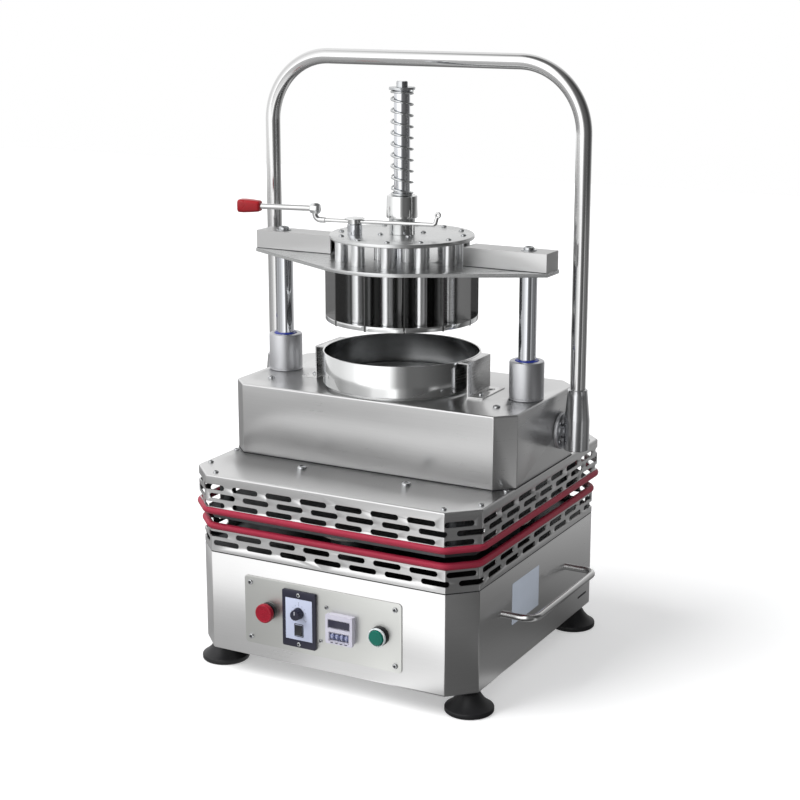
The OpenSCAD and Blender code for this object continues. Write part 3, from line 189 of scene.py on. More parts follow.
def brushed_metal(name, colour, rough, line_mm, reach_mm, depth_mm, mottle=0.05, spread=0.07):
    """Metal ground by a belt: fine lines across the way that line_mm counts, long the other way.

    Upright faces are ground level, and faces that look up are ground from side to side.
    """
    material, tree, shader = blank_material(name)
    place = add(tree, "ShaderNodeTexCoord").outputs["Object"]
    facing = add(tree, "ShaderNodeSeparateXYZ", {0: add(tree, "ShaderNodeNewGeometry").outputs["Normal"]})
    upward = add(tree, "ShaderNodeMath", {0: facing.outputs["Z"]}, operation="ABSOLUTE")
    is_top = add(tree, "ShaderNodeMath", {0: upward.outputs[0], 1: 0.7}, operation="GREATER_THAN")
    fine, long = 1 / (line_mm * METRE), 1 / (reach_mm * METRE)
    grains = []
    for scale in ((long, long, fine), (long, fine, long)):
        mapped = add(tree, "ShaderNodeMapping", {"Vector": place, "Scale": scale})
        grains.append(add(tree, "ShaderNodeTexNoise", {
            "Vector": mapped.outputs[0], "Scale": 1.0, "Detail": 3.0, "Roughness": 0.6}).outputs[0])
    grain = add(tree, "ShaderNodeMix", {"Factor": is_top.outputs[0], "A": grains[0], "B": grains[1]})
    cloud = add(tree, "ShaderNodeTexNoise", {"Vector": place, "Scale": 7.0, "Detail": 2.0})
    both = add(tree, "ShaderNodeMix", {"Factor": 0.4, "A": grain.outputs[0], "B": cloud.outputs[0]})
    weathered(tree, shader, colour, both.outputs[0], grain.outputs[0], (1 - mottle, 1.0),
              (rough - spread / 2, rough + spread / 2), depth_mm)
    shader.inputs["Metallic"].default_value = 1.0
    return material


def grained(name, colour, rough, grain_mm, depth_mm, variation, ior=None, coat=0.0):
    """A cast, moulded or blasted surface: an even grain of one size, with a little cloudiness.

    Without an index of refraction it is a metal.
    """
    material, tree, shader = blank_material(name)
    place = add(tree, "ShaderNodeTexCoord").outputs["Object"]
    grain = add(tree, "ShaderNodeTexNoise", {
        "Vector": place, "Scale": 1 / (grain_mm * METRE), "Detail": 4.0, "Roughness": 0.55})
    cloud = add(tree, "ShaderNodeTexNoise", {"Vector": place, "Scale": 22.0, "Detail": 3.0})
    weathered(tree, shader, colour, cloud.outputs[0], grain.outputs[0], (1 - variation, 1 + variation / 3),
              (rough - 0.05, rough + 0.05), depth_mm)
    shader.inputs["Metallic"].default_value = 0.0 if ior else 1.0
    if ior:
        shader.inputs["IOR"].default_value = ior
        shader.inputs["Coat Weight"].default_value = coat
    return material


# Brushed metals: what it is, colour, roughness, width and length of a grinding line and its depth in
# millimetres, then mottling and spread of roughness. A colour is a hex value or one of the property group's.
BRUSHED = {
    # Number 4 belt finish: level lines about 0.5 mm apart, drawn at 1.5 mm so that they show
    "sheet": ("stainless_sheet_belt_ground", "steel", 0.30, 1.5, 90, 0.006),
    # The same sheet, cut and folded small, with a finer line
    "small_sheet": ("stainless_sheet_small_parts", "steel", 0.26, 1.0, 40, 0.004),
    # The panel's plate is ground finer and etched, so it looks flatter than the cabinet
    "panel": ("stainless_plate_satin", "#d6d7d4", 0.42, 0.9, 60, 0.003, 0.03),
    # Box section for the beams: satin, slightly greyer than sheet
    "beam": ("stainless_box_section_satin", "dim steel", 0.36, 1.2, 70, 0.005),
    # Plate of the yoke: ground before cutting
    "yoke": ("stainless_plate_ground", "#d2d3d3", 0.28, 1.1, 60, 0.004),
    # Tube polished on a belt: nearly a mirror, with faint rings round it
    "tube": ("stainless_tube_polished", "steel", 0.13, 0.8, 30, 0.0012, 0.02, 0.03),
    # Turned and polished bowl and collar
    "polished": ("stainless_turned_polished", "#e2e3e3", 0.11, 0.7, 50, 0.001, 0.02, 0.03),
    # The bowl's inner wall: a darker grey than the ring's outside
    "worn": ("stainless_inner_wall_worn", "#9c9d9e", 0.15, 0.7, 50, 0.002, 0.08, 0.05),
    # Hard chrome on the posts and the shaft: a bright mirror with hardly a line
    "chrome": ("hard_chrome_ground", "#e0e2e6", 0.09, 0.6, 60, 0.0006, 0.01, 0.02),
    # Satin turned bushes: soft and grey, with turning lines
    "bush": ("aluminium_turned_satin", "#cccdd0", 0.42, 0.7, 60, 0.004, 0.04),
    # Pins ground bright with a soft sheen
    "pin": ("stainless_pin_ground", "#ecedee", 0.30, 0.6, 30, 0.002, 0.03),
    # Knives: blade steel left from grinding, darker than the sheet and darker still as painted shade behind
    # the pins
    "knife": ("blade_steel_ground", "dark steel", 0.24, 0.9, 50, 0.003, 0.10),
    # Drawn wire: bright, with the die's fine lines
    "spring": ("spring_wire_bright", "#d8dadb", 0.18, 0.5, 12, 0.002, 0.04),
    # Polished steel of the handle's sockets and shaft
    "socket": ("steel_socket_polished", "#d2d3d5", 0.15, 0.8, 40, 0.002, 0.03, 0.03),
    # Steel as it comes off the lathe, grey with fine tool lines
    "turned": ("steel_turned", "#9a9c9e", 0.30, 0.8, 30, 0.004, 0.08),
}
# Grained surfaces: what it is, colour, roughness, size and depth of its grain in millimetres and
# variation, then index of refraction and clear coat where it isn't a metal
GRAINED = {
    # Fasteners: bright zinc, small enough to need only a fine grain
    "screw": ("zinc_plated_screws", "#c9cbcd", 0.22, 0.6, 0.004, 0.1),
    # Mill-finish plate, dull and uneven; under the top disc it is painted shade
    "mill": ("mild_steel_plate_oiled", "#5d6062", 0.48, 3.0, 0.02, 0.25),
    # Sand-cast iron: a 1.5 mm grain and a dull grey
    "iron": ("cast_iron_machined", "#6d7175", 0.50, 1.5, 0.05, 0.2),
    # Painted shade: a dark colour that stands in for the shadow in the socket of a screw, in a slit, in a
    # hole and in a seam
    "painted_shade": ("seam_and_socket_dark", "#2b2c2e", 0.55, 0.5, 0.01, 0.2, 1.5),
    # Blank plate: anodised aluminium foil, matt and pale
    "label": ("anodised_foil_pale_blue", "#dbe5f4", 0.40, 0.6, 0.004, 0.05, 1.5),
    # Machine paint: a slight orange peel under a thin gloss
    "motor": ("alkyd_paint_grey", "#5f6f78", 0.42, 1.2, 0.015, 0.1, 1.5, 0.2),
    # Silicone rubber: satin, very fine skin
    "trim": ("silicone_rubber_red", "trim", 0.45, 0.8, 0.012, 0.10, 1.43),
    # Rubber: dull, with a dusty skin
    "foot": ("nitrile_rubber_black", "#1a1a1c", 0.48, 0.7, 0.02, 0.25, 1.52),
    "belt": ("rubber_belt_black", "#1c1c1e", 0.60, 0.6, 0.03, 0.2, 1.52),
    # Moulded plastics: a spark-eroded grain, even and satin
    "black": ("abs_black_moulded", "black", 0.38, 0.5, 0.008, 0.15, 1.53),
    "frame": ("abs_dark_blue_moulded", "#17172c", 0.30, 0.5, 0.006, 0.12, 1.53),
    "case": ("abs_pale_grey_moulded", "case", 0.36, 0.5, 0.006, 0.05, 1.53),
    "wheel": ("abs_grey_blue_wheels", "#7a80a4", 0.40, 0.5, 0.006, 0.08, 1.53),
    "bezel": ("abs_pale_bezel", "#dfe6e8", 0.30, 0.6, 0.003, 0.04, 1.53),
    "stop": ("polycarbonate_red_cap", "stop", 0.30, 0.9, 0.003, 0.08, 1.40),
    "start": ("polycarbonate_green_cap", "start", 0.30, 0.9, 0.003, 0.08, 1.40),
    # Printed polyester film and a clear window: smooth, the window glossy
    "face": ("polyester_face_pale", "face", 0.34, 0.6, 0.003, 0.03, 1.55),
    "window": ("acrylic_window_dark", "#1c1a35", 0.10, 1.0, 0.001, 0.05, 1.49, 0.4),
    # Ink of the marks: flat and matt
    "ink": ("pad_print_dark_blue", "#20223c", 0.50, 0.4, 0.001, 0.05, 1.5),
    "ink_pale": ("pad_print_white", "#e8e9f2", 0.50, 0.4, 0.001, 0.03, 1.5),
    # Cast polyurethane of the wipers: smooth and slightly shiny
    "seal": ("polyurethane_blue", "seal", 0.35, 0.7, 0.006, 0.1, 1.5),
    # Plastisol dip: glossy, soft red, slightly uneven
    "grip": ("plastisol_dip_red", "grip", 0.30, 4.0, 0.05, 0.1, 1.42),
    # Machined nylon: off-white and waxy
    "nylon": ("nylon_white_machined", "#e6e3da", 0.42, 0.9, 0.01, 0.06, 1.53),
}
FINISHES = {}


def make_finishes():
    """Makes each finish of the two tables a material, in FINISHES."""
    chosen = {name: tuple(getattr(colours(), name)) for name in DividerColours.__annotations__}
    # the knives' steel is darkened to 0.22, partly as blade steel and partly as painted shade behind the pins
    chosen["dim steel"], chosen["dark steel"] = (
        tuple(channel * share for channel in chosen["steel"]) for share in (0.8, 0.22))
    for make, table in ((brushed_metal, BRUSHED), (grained, GRAINED)):
        for finish, (name, colour, *figures) in table.items():
            FINISHES[finish] = make(name, chosen[colour] if colour in chosen else paint(colour), *figures)


# Meshes

def linked(name, data):
    """A new object in the scene."""
    made = bpy.data.objects.new(name, data)
    bpy.context.scene.collection.objects.link(made)
    return made


def plain_mesh(holder):
    """What an object looks like with its modifiers, as a mesh of its own. They and the object are removed."""
    view = bpy.context.evaluated_depsgraph_get()
    mesh = bpy.data.meshes.new_from_object(holder.evaluated_get(view))
    holder.modifiers.clear()
    bpy.data.objects.remove(holder)
    return mesh


def in_finish(mesh, finish):
    mesh.materials.clear()
    mesh.materials.append(FINISHES[finish])
    return mesh


def crease(mesh):
    for face in mesh.polygons:
        face.use_smooth = True
    mesh.set_sharp_from_angle(angle=CREASE)


def finished(name, mesh, body, slot, *nodes):
    """Makes a mesh a piece: its shading, the body that it rides on and the nodes that it stands for."""
    piece = linked(name, mesh)
    mesh.name = name
    crease(mesh)
    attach(piece, body)
    if nodes:
        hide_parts(*nodes)
    return piece


def released(shape, name):
    """A bmesh as a mesh."""
    mesh = bpy.data.meshes.new(name)
    shape.to_mesh(mesh)
    shape.free()
    return mesh


def to_mesh(shape):
    """A bmesh in millimetres as a mesh in metres, with doubles merged and faces outward."""
    bmesh.ops.remove_doubles(shape, verts=shape.verts, dist=0.001)
    bmesh.ops.recalc_face_normals(shape, faces=shape.faces)
    bmesh.ops.scale(shape, vec=(METRE,) * 3, verts=shape.verts)
    return released(shape, "mesh")


def skin(shape, finish):
    """A bmesh in millimetres as a mesh in metres, in one finish."""
    return in_finish(to_mesh(shape), finish)


def steady(mesh):
    """Shades wide flat areas flat right up to their folds and bevels."""
    crease(mesh)
    facing = [tuple(round(c, 3) for c in face.normal) for face in mesh.polygons]
    area = {}
    around = [set() for _ in mesh.vertices]
    for face, way in zip(mesh.polygons, facing):
        area[way] = area.get(way, 0) + face.area
        for vertex in face.vertices:
            around[vertex].add(way)
    bend = math.cos(CREASE)
    normals = []
    for face in mesh.polygons:
        for vertex in face.vertices:
            near = [way for way in around[vertex] if Vector(way).dot(face.normal) > bend]
            near.sort(key=area.get, reverse=True)
            if not near:
                normals.append(face.normal)
            elif len(near) == 1 or area[near[0]] > 4 * area[near[1]]:
                normals.append(Vector(near[0]))
            else:
                normals.append(sum((Vector(way) for way in near), Vector()).normalized())
    mesh.normals_split_custom_set(normals)


def bevelled(mesh, *modifiers):
    """The mesh with modifiers applied, a bevel last, and its shading steadied. Each is (kind, settings)."""
    holder = linked("holder", mesh)
    for kind, settings in modifiers:
        modifier = holder.modifiers.new(kind, kind)
        for name, value in settings.items():
            setattr(modifier, name, value)
    result = plain_mesh(holder)
    steady(result)
    return result


def eased_copy(node, finish, width_mm, segments=2, angle=50):
    """A CAD node's mesh, its loose triangles merged and its sharp edges broken, in one finish."""
    shape = bmesh.new()
    shape.from_mesh(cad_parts[node].data)
    bmesh.ops.remove_doubles(shape, verts=shape.verts, dist=2e-6)
    bmesh.ops.dissolve_limit(
        shape, angle_limit=math.radians(0.6), verts=shape.verts, edges=shape.edges)
    return in_finish(bevelled(released(shape, node), ("BEVEL", {
        "width": width_mm * METRE, "segments": segments, "limit_method": "ANGLE",
        "angle_limit": math.radians(angle), "miter_outer": "MITER_ARC"})), finish)


def shift(x=0, y=0, z=0):
    return Matrix.Translation((x, y, z))


def spun(angle, axis):
    return Matrix.Rotation(angle, 4, axis)


def toward(position, direction):
    """A matrix that puts Z along direction at position."""
    return Matrix.Translation(position) @ Vector(direction).to_track_quat("Z", "Y").to_matrix().to_4x4()


def circle(count, start=0.0):
    """Angles evenly round a circle."""
    return [start + TURN * k / count for k in range(count)]


def ring_of(radius, height, sides, lobe=0.0):
    """Points round the Z axis; lobe swells the radius three times on the way round."""
    return [Vector((radius * (1 + lobe * math.cos(3 * a)) * math.cos(a),
                    radius * (1 + lobe * math.cos(3 * a)) * math.sin(a), height)) for a in circle(sides)]


def loft(shape, rings, place=None, closed=False):
    """Joins rings of points into a closed skin; a ring of one point is a pole.

    The ends are capped, or the last ring is joined to the first where it is closed.
    """
    place = place or Matrix.Identity(4)
    rows = [[shape.verts.new(place @ p) for p in ring] for ring in rings]
    if closed:
        rows.append(rows[0])
    for low, high in zip(rows, rows[1:]):
        count = max(len(low), len(high))
        for k in range(count):
            m = (k + 1) % count
            corners = []
            for v in (low[k % len(low)], low[m % len(low)], high[m % len(high)], high[k % len(high)]):
                if v not in corners:
                    corners.append(v)
            if len(corners) > 2:
                shape.faces.new(corners)
    if not closed:
        for end in (rows[0][::-1], rows[-1]):
            if len(end) > 2:
                shape.faces.new(end)
    return shape


def turned(shape, profile, place=None, sides=None, closed=False):
    """Turns a profile of (radius, height[, lobe]) round Z. A closed profile gives a ring with a bore."""
    sides = sides or sizes().sides
    rings = [ring_of(radius, height, sides, *lobe) if radius > 0 else [Vector((0, 0, height))]
             for radius, height, *lobe in profile]
    return loft(shape, rings, place, closed)


def rounded_outline(width, height, corner, level=0.0, inset=0.0, steps=6):
    """Points round a rectangle with rounded corners, level above the XY plane."""
    corner = max(corner - inset, 0.05)
    across, along = width / 2 - inset - corner, height / 2 - inset - corner
    points = []
    for quarter, (sx, sy) in enumerate(SQUARE):
        for k in range(steps + 1):
            a = QUARTER * (quarter + k / steps)
            x, y = sx * across + corner * math.cos(a), sy * along + corner * math.sin(a)
            points.append(Vector((x, y, level)))
    return points


def slab(shape, width, height, corner, low, high, ease, place=None, steps=6):
    """A plate with a rounded outline and an eased upper edge."""
    rings = ((0, low), (0, high - ease), (ease * 0.3, high - ease * 0.3), (ease, high))
    return loft(shape, [
        rounded_outline(width, height, corner, level, inset, steps) for inset, level in rings], place)


# Geometry Nodes

def new_tree(name, *inputs):
    """A geometry tree with a geometry input, the named inputs given as (name, kind, value), and an output."""
    tree = bpy.data.node_groups.new(name, "GeometryNodeTree")
    tree.interface.new_socket(name="Geometry", in_out="INPUT", socket_type="NodeSocketGeometry")
    for title, kind, value in (*inputs, ("Material", "Material", None)):
        socket = tree.interface.new_socket(name=title, in_out="INPUT", socket_type="NodeSocket" + kind)
        if value is not None:
            socket.default_value = value
    tree.interface.new_socket(name="Geometry", in_out="OUTPUT", socket_type="NodeSocketGeometry")
    return tree, add(tree, "NodeGroupInput").outputs


def close_tree(tree, geometry, finish):
    """Ends a tree: instances made real, then its material."""
    real = add(tree, "GeometryNodeRealizeInstances", {"Geometry": geometry})
    dressed = add(tree, "GeometryNodeSetMaterial", {"Geometry": real.outputs[0], "Material": finish})
    add(tree, "NodeGroupOutput", {"Geometry": dressed.outputs[0]})
    return tree


def thickened(tree, curve, radius, sides):
    """A curve in a tree as a round solid with closed ends."""
    section = add(tree, "GeometryNodeCurvePrimitiveCircle", {"Resolution": sides, "Radius": radius})
    return add(tree, "GeometryNodeCurveToMesh", {
        "Curve": curve, "Profile Curve": section.outputs[0], "Fill Caps": True}).outputs[0]


def rod_tree():
    """A rod that follows the edges of its mesh, with its corners bent."""
    tree, given = new_tree("bent_rod", ("Radius", "Float", 0.005), ("Bend", "Float", 0.02),
                           ("Bend Steps", "Int", 12), ("Sides", "Int", 32))
    path = add(tree, "GeometryNodeMeshToCurve", {"Mesh": given["Geometry"]})
    bent = add(tree, "GeometryNodeFilletCurve", {
        "Curve": path.outputs[0], "Radius": given["Bend"], "Limit Radius": True}, mode="POLY")
    tree.links.new(given["Bend Steps"], next(s for s in bent.inputs if s.name == "Count"))
    rod_skin = thickened(tree, bent.outputs[0], given["Radius"], given["Sides"])
    return close_tree(tree, rod_skin, given["Material"])


def coil_tree():
    """A wire wound round Z, upward from the floor, joined to the mesh that it grows on."""
    tree, given = new_tree("wound_wire", ("Turns", "Float", 11.0), ("Coil Radius", "Float", 0.017),
                           ("Wire Radius", "Float", 0.0017), ("Length", "Float", 0.16), ("Sides", "Int", 12))
    coil = add(tree, "GeometryNodeCurveSpiral", {
        "Resolution": 40, "Rotations": given["Turns"], "Start Radius": given["Coil Radius"],
        "End Radius": given["Coil Radius"], "Height": given["Length"]})
    both = add(tree, "GeometryNodeJoinGeometry")
    for part in (thickened(tree, coil.outputs[0], given["Wire Radius"], given["Sides"]), given["Geometry"]):
        tree.links.new(part, both.inputs[0])
    return close_tree(tree, both.outputs[0], given["Material"])


def marks_tree():
    """An object set out at points, Z along each point's facing, turned about it by chance up to the spin."""
    tree, given = new_tree("set_out_at_marks", ("Piece", "Object", None), ("Spin", "Float", 0.0),
                           ("Seed", "Int", 7))
    source = add(tree, "GeometryNodeObjectInfo", {"Object": given["Piece"]})
    facing = add(tree, "GeometryNodeInputNamedAttribute", {"Name": "facing"}, data_type="FLOAT_VECTOR")
    aimed = add(tree, "FunctionNodeAlignRotationToVector", {"Vector": facing.outputs[0]}, axis="Z")
    chance = add(tree, "FunctionNodeRandomValue", {"Seed": given["Seed"]}, data_type="FLOAT")
    least, most, *_ = (s for s in chance.inputs if s.type == "VALUE" and s.enabled)
    least.default_value = 0.0
    tree.links.new(given["Spin"], most)
    angle = next(s for s in chance.outputs if s.type == "VALUE" and s.enabled)
    turn = add(tree, "FunctionNodeAxisAngleToRotation", {"Axis": UP, "Angle": angle})
    turned_on = add(tree, "FunctionNodeRotateRotation", {
        "Rotation": aimed.outputs[0], "Rotate By": turn.outputs[0]}, rotation_space="LOCAL")
    placed = add(tree, "GeometryNodeInstanceOnPoints", {
        "Points": given["Geometry"], "Instance": source.outputs["Geometry"],
        "Rotation": turned_on.outputs[0]})
    return close_tree(tree, placed.outputs[0], given["Material"])


TREES = {}


def make_trees():
    """Makes the trees for what repeats or follows a path, in TREES."""
    TREES.update(rod=rod_tree(), coil=coil_tree(), marks=marks_tree())


def grow(kind, mesh, finish, **values):
    """Runs a tree on a mesh with its inputs set by identifier, and returns the plain mesh."""
    holder = linked("grown", mesh)
    modifier = holder.modifiers.new("grow", "NODES")
    modifier.node_group = TREES[kind]
    sockets = TREES[kind].interface.items_tree
    named = {item.name: item.identifier for item in sockets if item.in_out == "INPUT"}
    for title, value in {**values, "Material": FINISHES[finish]}.items():
        modifier[named[title.replace("_", " ")]] = value
    return plain_mesh(holder)


def rod(points, radius, bend, finish, cyclic=False, sides=32, steps=12):
    """A round rod bent through points, in millimetres."""
    path = bpy.data.meshes.new("path")
    edges = [(k, k + 1) for k in range(len(points) - 1)] + ([(len(points) - 1, 0)] if cyclic else [])
    path.from_pydata([Vector(p) * METRE for p in points], edges, [])
    return grow("rod", path, finish, Radius=radius * METRE, Bend=bend * METRE, Bend_Steps=steps, Sides=sides)


def set_out(mesh, marks, finish, spin=0.0, seed=7):
    """Copies of a mesh at marks, each a (position in mm, facing), by the tree for marks."""
    source = linked("pattern", mesh)
    points = bpy.data.meshes.new("marks")
    points.from_pydata([Vector(place) * METRE for place, _ in marks], [], [])
    layer = points.attributes.new("facing", "FLOAT_VECTOR", "POINT")
    for item, (_, facing) in zip(layer.data, marks):
        item.vector = facing
    result = grow("marks", points, finish, Piece=source, Spin=spin, Seed=seed)
    bpy.data.objects.remove(source)
    return result


def joined(*meshes):
    """Several meshes as one, with their materials kept."""
    holders = [linked("part", mesh) for mesh in meshes]
    with bpy.context.temp_override(
            active_object=holders[0], object=holders[0], selected_objects=holders,
            selected_editable_objects=holders):
        bpy.ops.object.join()
    result = holders[0].data
    bpy.data.objects.remove(holders[0])
    return result


# Folded sheet

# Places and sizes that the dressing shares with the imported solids, in millimetres.
# A leg is how far a housing's corner is cut back along each side.
LEGS = {"cabinet_shell": 39, "lower_apron": 39, "tray_cover": 43, "press_housing": 28}
APRON_TOP_ROW, TRAY_TOP_ROW = 236, 317.5
SLOT_PHASES = -14, 6
SLOT_MARGIN = 4
FOOT_RADIUS, POST_RADIUS, TUBE_RADIUS, FLANGE_RADIUS, ROD_RADIUS = 39, 14, 12.5, 30, 5.6
PANEL_FACE = mm_box("control_panel")[0].y
PRESS_Y = mm_middle("dough_ring").y
PRESS_AXIS = Matrix.Translation((0, PRESS_Y, 0))
POST_X = mm_box("guide_posts")[1].x - POST_RADIUS
PIVOT_Y, PIVOT_Z = mm_middle("pivot_flanges").y, mm_box("pivot_flanges")[0].z + FLANGE_RADIUS


def outline_corners(width, depth, leg):
    """The eight corners of a rectangle with chamfered corners, from the front's right end, anticlockwise."""
    a, b = width / 2, depth / 2
    return [Vector(p) for p in ((a - leg, -b), (a, -b + leg), (a, b - leg), (a - leg, b),
                                (-a + leg, b), (-a, b - leg), (-a, -b + leg), (-a + leg, -b))]


def footprint(node):
    """Width, depth and the middle's Y of a housing."""
    low, high = mm_box(node)
    return high.x - low.x, high.y - low.y, mm_middle(node).y


def inset_outline(node, inset):
    """The chamfered outline of a housing drawn in on all sides."""
    width, depth, centre = footprint(node)
    corners = outline_corners(width - 2 * inset, depth - 2 * inset, LEGS[node] - inset * (2 - ROOT))
    return [corner + Vector((0, centre)) for corner in corners]


def circle_loop(x, y, radius):
    return [(x + radius * math.cos(a), y + radius * math.sin(a)) for a in circle(40)]


def unrolled(width, depth, leg, fold, steps=3):
    """Stations (s, point, outward) round the outline, with s 0 at the front's middle, and half its length."""
    cut = leg * ROOT
    faces = (width - 2 * leg, cut, depth - 2 * leg, cut)
    half = faces[0] + faces[2] + 2 * cut
    tangent = fold * math.tan(EIGHTH / 2)
    stations = [(s, Vector((0, side * depth / 2)), Vector((0, side)))
                for s, side in ((half, 1), (-half, 1), (0.0, -1))]
    s = faces[0] / 2
    for k, corner in enumerate(outline_corners(width, depth, leg)):
        before = EIGHTH * k - QUARTER
        along = Vector((-math.sin(before), math.cos(before)))
        outward = Vector((math.cos(before), math.sin(before)))
        centre = corner - tangent * along - fold * outward
        for n in range(steps + 1):
            angle = before + EIGHTH * n / steps
            normal = Vector((math.cos(angle), math.sin(angle)))
            station = s + tangent * (2 * n / steps - 1)
            if station >= half:
                station -= 2 * half
            stations.append((station, centre + fold * normal, normal))
        s += faces[(k + 1) % 4]
    return sorted(stations, key=lambda item: item[0]), half


def stadium(x, y, length, height, steps=7):
    """A slot's outline in unrolled sheet."""
    return [(x + side * (length - height) / 2 + height / 2 * math.cos(start + math.pi * k / steps),
             y + height / 2 * math.sin(start + math.pi * k / steps))
            for side, start in ((1, -QUARTER), (-1, QUARTER)) for k in range(steps + 1)]


def slot_rows(half, top_row, count):
    """Outlines of the slots of several rows, one below the other, every other row shifted sideways."""
    size = sizes()
    length, height, pitch, drop = (
        v / METRE for v in (size.slot_length, size.slot_height, size.slot_pitch, size.row_pitch))
    reach = half - length / 2 - SLOT_MARGIN
    places = [(SLOT_PHASES[row % 2] + n * pitch, top_row - row * drop)
              for row in range(count) for n in range(-20, 21)]
    return [stadium(x, y, length, height) for x, y in places if abs(x) < reach]


def cut_sheet(outline, holes, lines=()):
    """Triangles of a flat sheet with holes, as (points, triangles). lines are edges that it must have."""
    points, edges = [], []
    for loop in [outline] + list(holes):
        first = len(points)
        points += [Vector(p) for p in loop]
        edges += [(first + k, first + (k + 1) % len(loop)) for k in range(len(loop))]
    for start, end in lines:
        edges.append((len(points), len(points) + 1))
        points += [Vector(start), Vector(end)]
    points, _, triangles, *_ = delaunay_2d_cdt(points, edges, [], 1, 1e-5)

    def inside(p, loop):
        hit = False
        for (x0, y0), (x1, y1) in zip(loop, loop[1:] + loop[:1]):
            if (y0 > p[1]) != (y1 > p[1]) and p[0] < (x1 - x0) * (p[1] - y0) / (y1 - y0) + x0:
                hit = not hit
        return hit

    # each hole with its box, which rules most of them out at once
    boxed = []
    for loop in holes:
        xs, ys = zip(*(tuple(p) for p in loop))
        boxed.append((min(xs), max(xs), min(ys), max(ys), list(zip(xs, ys))))
    kept = []
    for triangle in triangles:
        middle = sum((points[k] for k in triangle), Vector((0, 0))) / len(triangle)
        if not any(x0 < middle.x < x1 and y0 < middle.y < y1 and inside(middle, loop)
                   for x0, x1, y0, y1, loop in boxed):
            kept.append(triangle)
    return points, kept


def folded_cover(node, rows=None, top=None, foot=0.0, wall_holes=()):
    """A housing folded from sheet: eight walls, and a top or a foot flange where asked.

    rows is the height of the highest row of slots and how many there are. top is None for an open top,
    or the list of loops cut in it. foot is the width of a flange folded in. wall_holes are loops in
    unrolled sheet.
    """
    size = sizes()
    fold = size.fold / METRE
    width, depth, centre = footprint(node)
    low, high = (corner.z for corner in mm_box(node))
    stations, half = unrolled(width, depth, LEGS[node], fold)
    keys = [s for s, _, _ in stations]

    def wrapped(s, z, inset=0.0):
        """The point at station s and height z, drawn in by inset."""
        k = max(bisect(keys, s + 1e-6, hi=len(keys) - 1) - 1, 0)
        (s0, p0, n0), (s1, p1, n1) = stations[k], stations[k + 1]
        part = min(max((s - s0) / (s1 - s0), 0), 1)
        at = p0.lerp(p1, part) - inset * n0.lerp(n1, part)
        return Vector((at.x, at.y + centre, z))

    shape = bmesh.new()

    def fill(points, cells):
        corners = [shape.verts.new(p) for p in points]
        for cell in cells:
            shape.faces.new([corners[k] for k in cell])

    wall_top = high - fold if top is not None else high
    wall_low = low + fold if foot else low
    border = [(-half, wall_low), (half, wall_low), (half, wall_top), (-half, wall_top)]
    slots = slot_rows(half, *rows) if rows else []
    bends = [((s, wall_low), (s, wall_top)) for s in keys if abs(s) < half]
    flat, triangles = cut_sheet(border, slots + list(wall_holes), bends)
    fill([wrapped(p.x, p.y) for p in flat], triangles)
    foot_holes = [inset_outline(node, foot)] if foot else None
    for side, edge, holes in ((1, wall_top, top), (-1, wall_low, foot_holes)):
        if holes is None:
            continue
        # round the fold in four steps, then across the flat
        rings = []
        for a in (QUARTER * n / 4 for n in range(5)):
            level, inset = edge + side * fold * math.sin(a), fold * (1 - math.cos(a))
            rings.append([wrapped(s, level, inset) for s in keys])
        for below, above in zip(rings, rings[1:]):
            for k in range(len(keys) - 1):
                fill([below[k], below[k + 1], above[k + 1], above[k]], [range(4)])
        outer = rings[-1][:-1]
        clean = [(p.x, p.y) for k, p in enumerate(outer) if (p - outer[k - 1]).length > 0.01]
        flat, cells = cut_sheet(clean, holes)
        fill([(p.x, p.y, edge + side * fold) for p in flat], cells)
    bmesh.ops.remove_doubles(shape, verts=shape.verts, dist=0.004)
    slivers = [f for f in shape.faces if f.calc_area() < 1e-7]
    bmesh.ops.delete(shape, geom=slivers, context="FACES_ONLY")
    bmesh.ops.recalc_face_normals(shape, faces=shape.faces)
    widest = max(shape.faces, key=lambda f: f.calc_area())
    if widest.normal.dot(widest.calc_center_median() - Vector((0, centre, (low + high) / 2))) < 0:
        bmesh.ops.reverse_faces(shape, faces=shape.faces)
    bmesh.ops.scale(shape, vec=(METRE,) * 3, verts=shape.verts)
    return in_finish(bevelled(
        released(shape, "cover"),
        ("SOLIDIFY", {"thickness": size.sheet, "offset": -1, "use_even_offset": True}),
        ("BEVEL", {"width": size.edge, "segments": 1, "limit_method": "ANGLE",
                   "angle_limit": math.radians(60)})), "sheet")


def seam_line(node, low, high, out):
    """A thin dark line of painted shade round a housing, standing out from it by out."""
    rings = [[Vector((*corner, level)) for corner in inset_outline(node, -reach)]
             for reach, level in ((-1, low), (out, low), (out, high), (-1, high))]
    return skin(loft(bmesh.new(), rings, closed=True), "painted_shade")


class DIVIDER_OT_cabinet(bpy.types.Operator):
    """Folds the cabinet and the slotted apron on it from stainless sheet"""
    bl_idname = "divider.cabinet"
    bl_label = "Cabinet and apron"

    def execute(self, context):
        corner = mm_box("cabinet_shell")[1]
        outward = spun(QUARTER, "Z") @ spun(QUARTER, "X")
        # on the right side, a blank foil plate and a slit, each with its width and height and where it is
        plate_size, plate_at = (102, 69), (-52, 144.5)
        slit_size, slit_at = (37, 3.6), (186.5, 65.5)
        plate = slab(bmesh.new(), *plate_size, 1, 0, 0.4, 0.1, shift(corner.x, *plate_at) @ outward)
        # the slit is a dark slab of painted shade in place of the shaded opening
        slit = slab(bmesh.new(), *slit_size, 1.7, 0, 0.15, 0.05, shift(corner.x, *slit_at) @ outward)
        # painted shade: a dark line for the shaded gap under the apron, just inside both edges
        seam = seam_line("cabinet_shell", corner.z - 0.3, mm_box("lower_apron")[0].z + 0.3, -0.8)
        walls = joined(
            folded_cover("cabinet_shell", foot=50), skin(plate, "label"), skin(slit, "painted_shade"), seam)
        finished("cabinet_walls", walls, "base", "brushed_steel", "cabinet_shell")
        band = folded_cover("lower_apron", rows=(APRON_TOP_ROW, 2))
        finished("apron_band", band, "base", "apron_steel", "lower_apron")
        return {"FINISHED"}


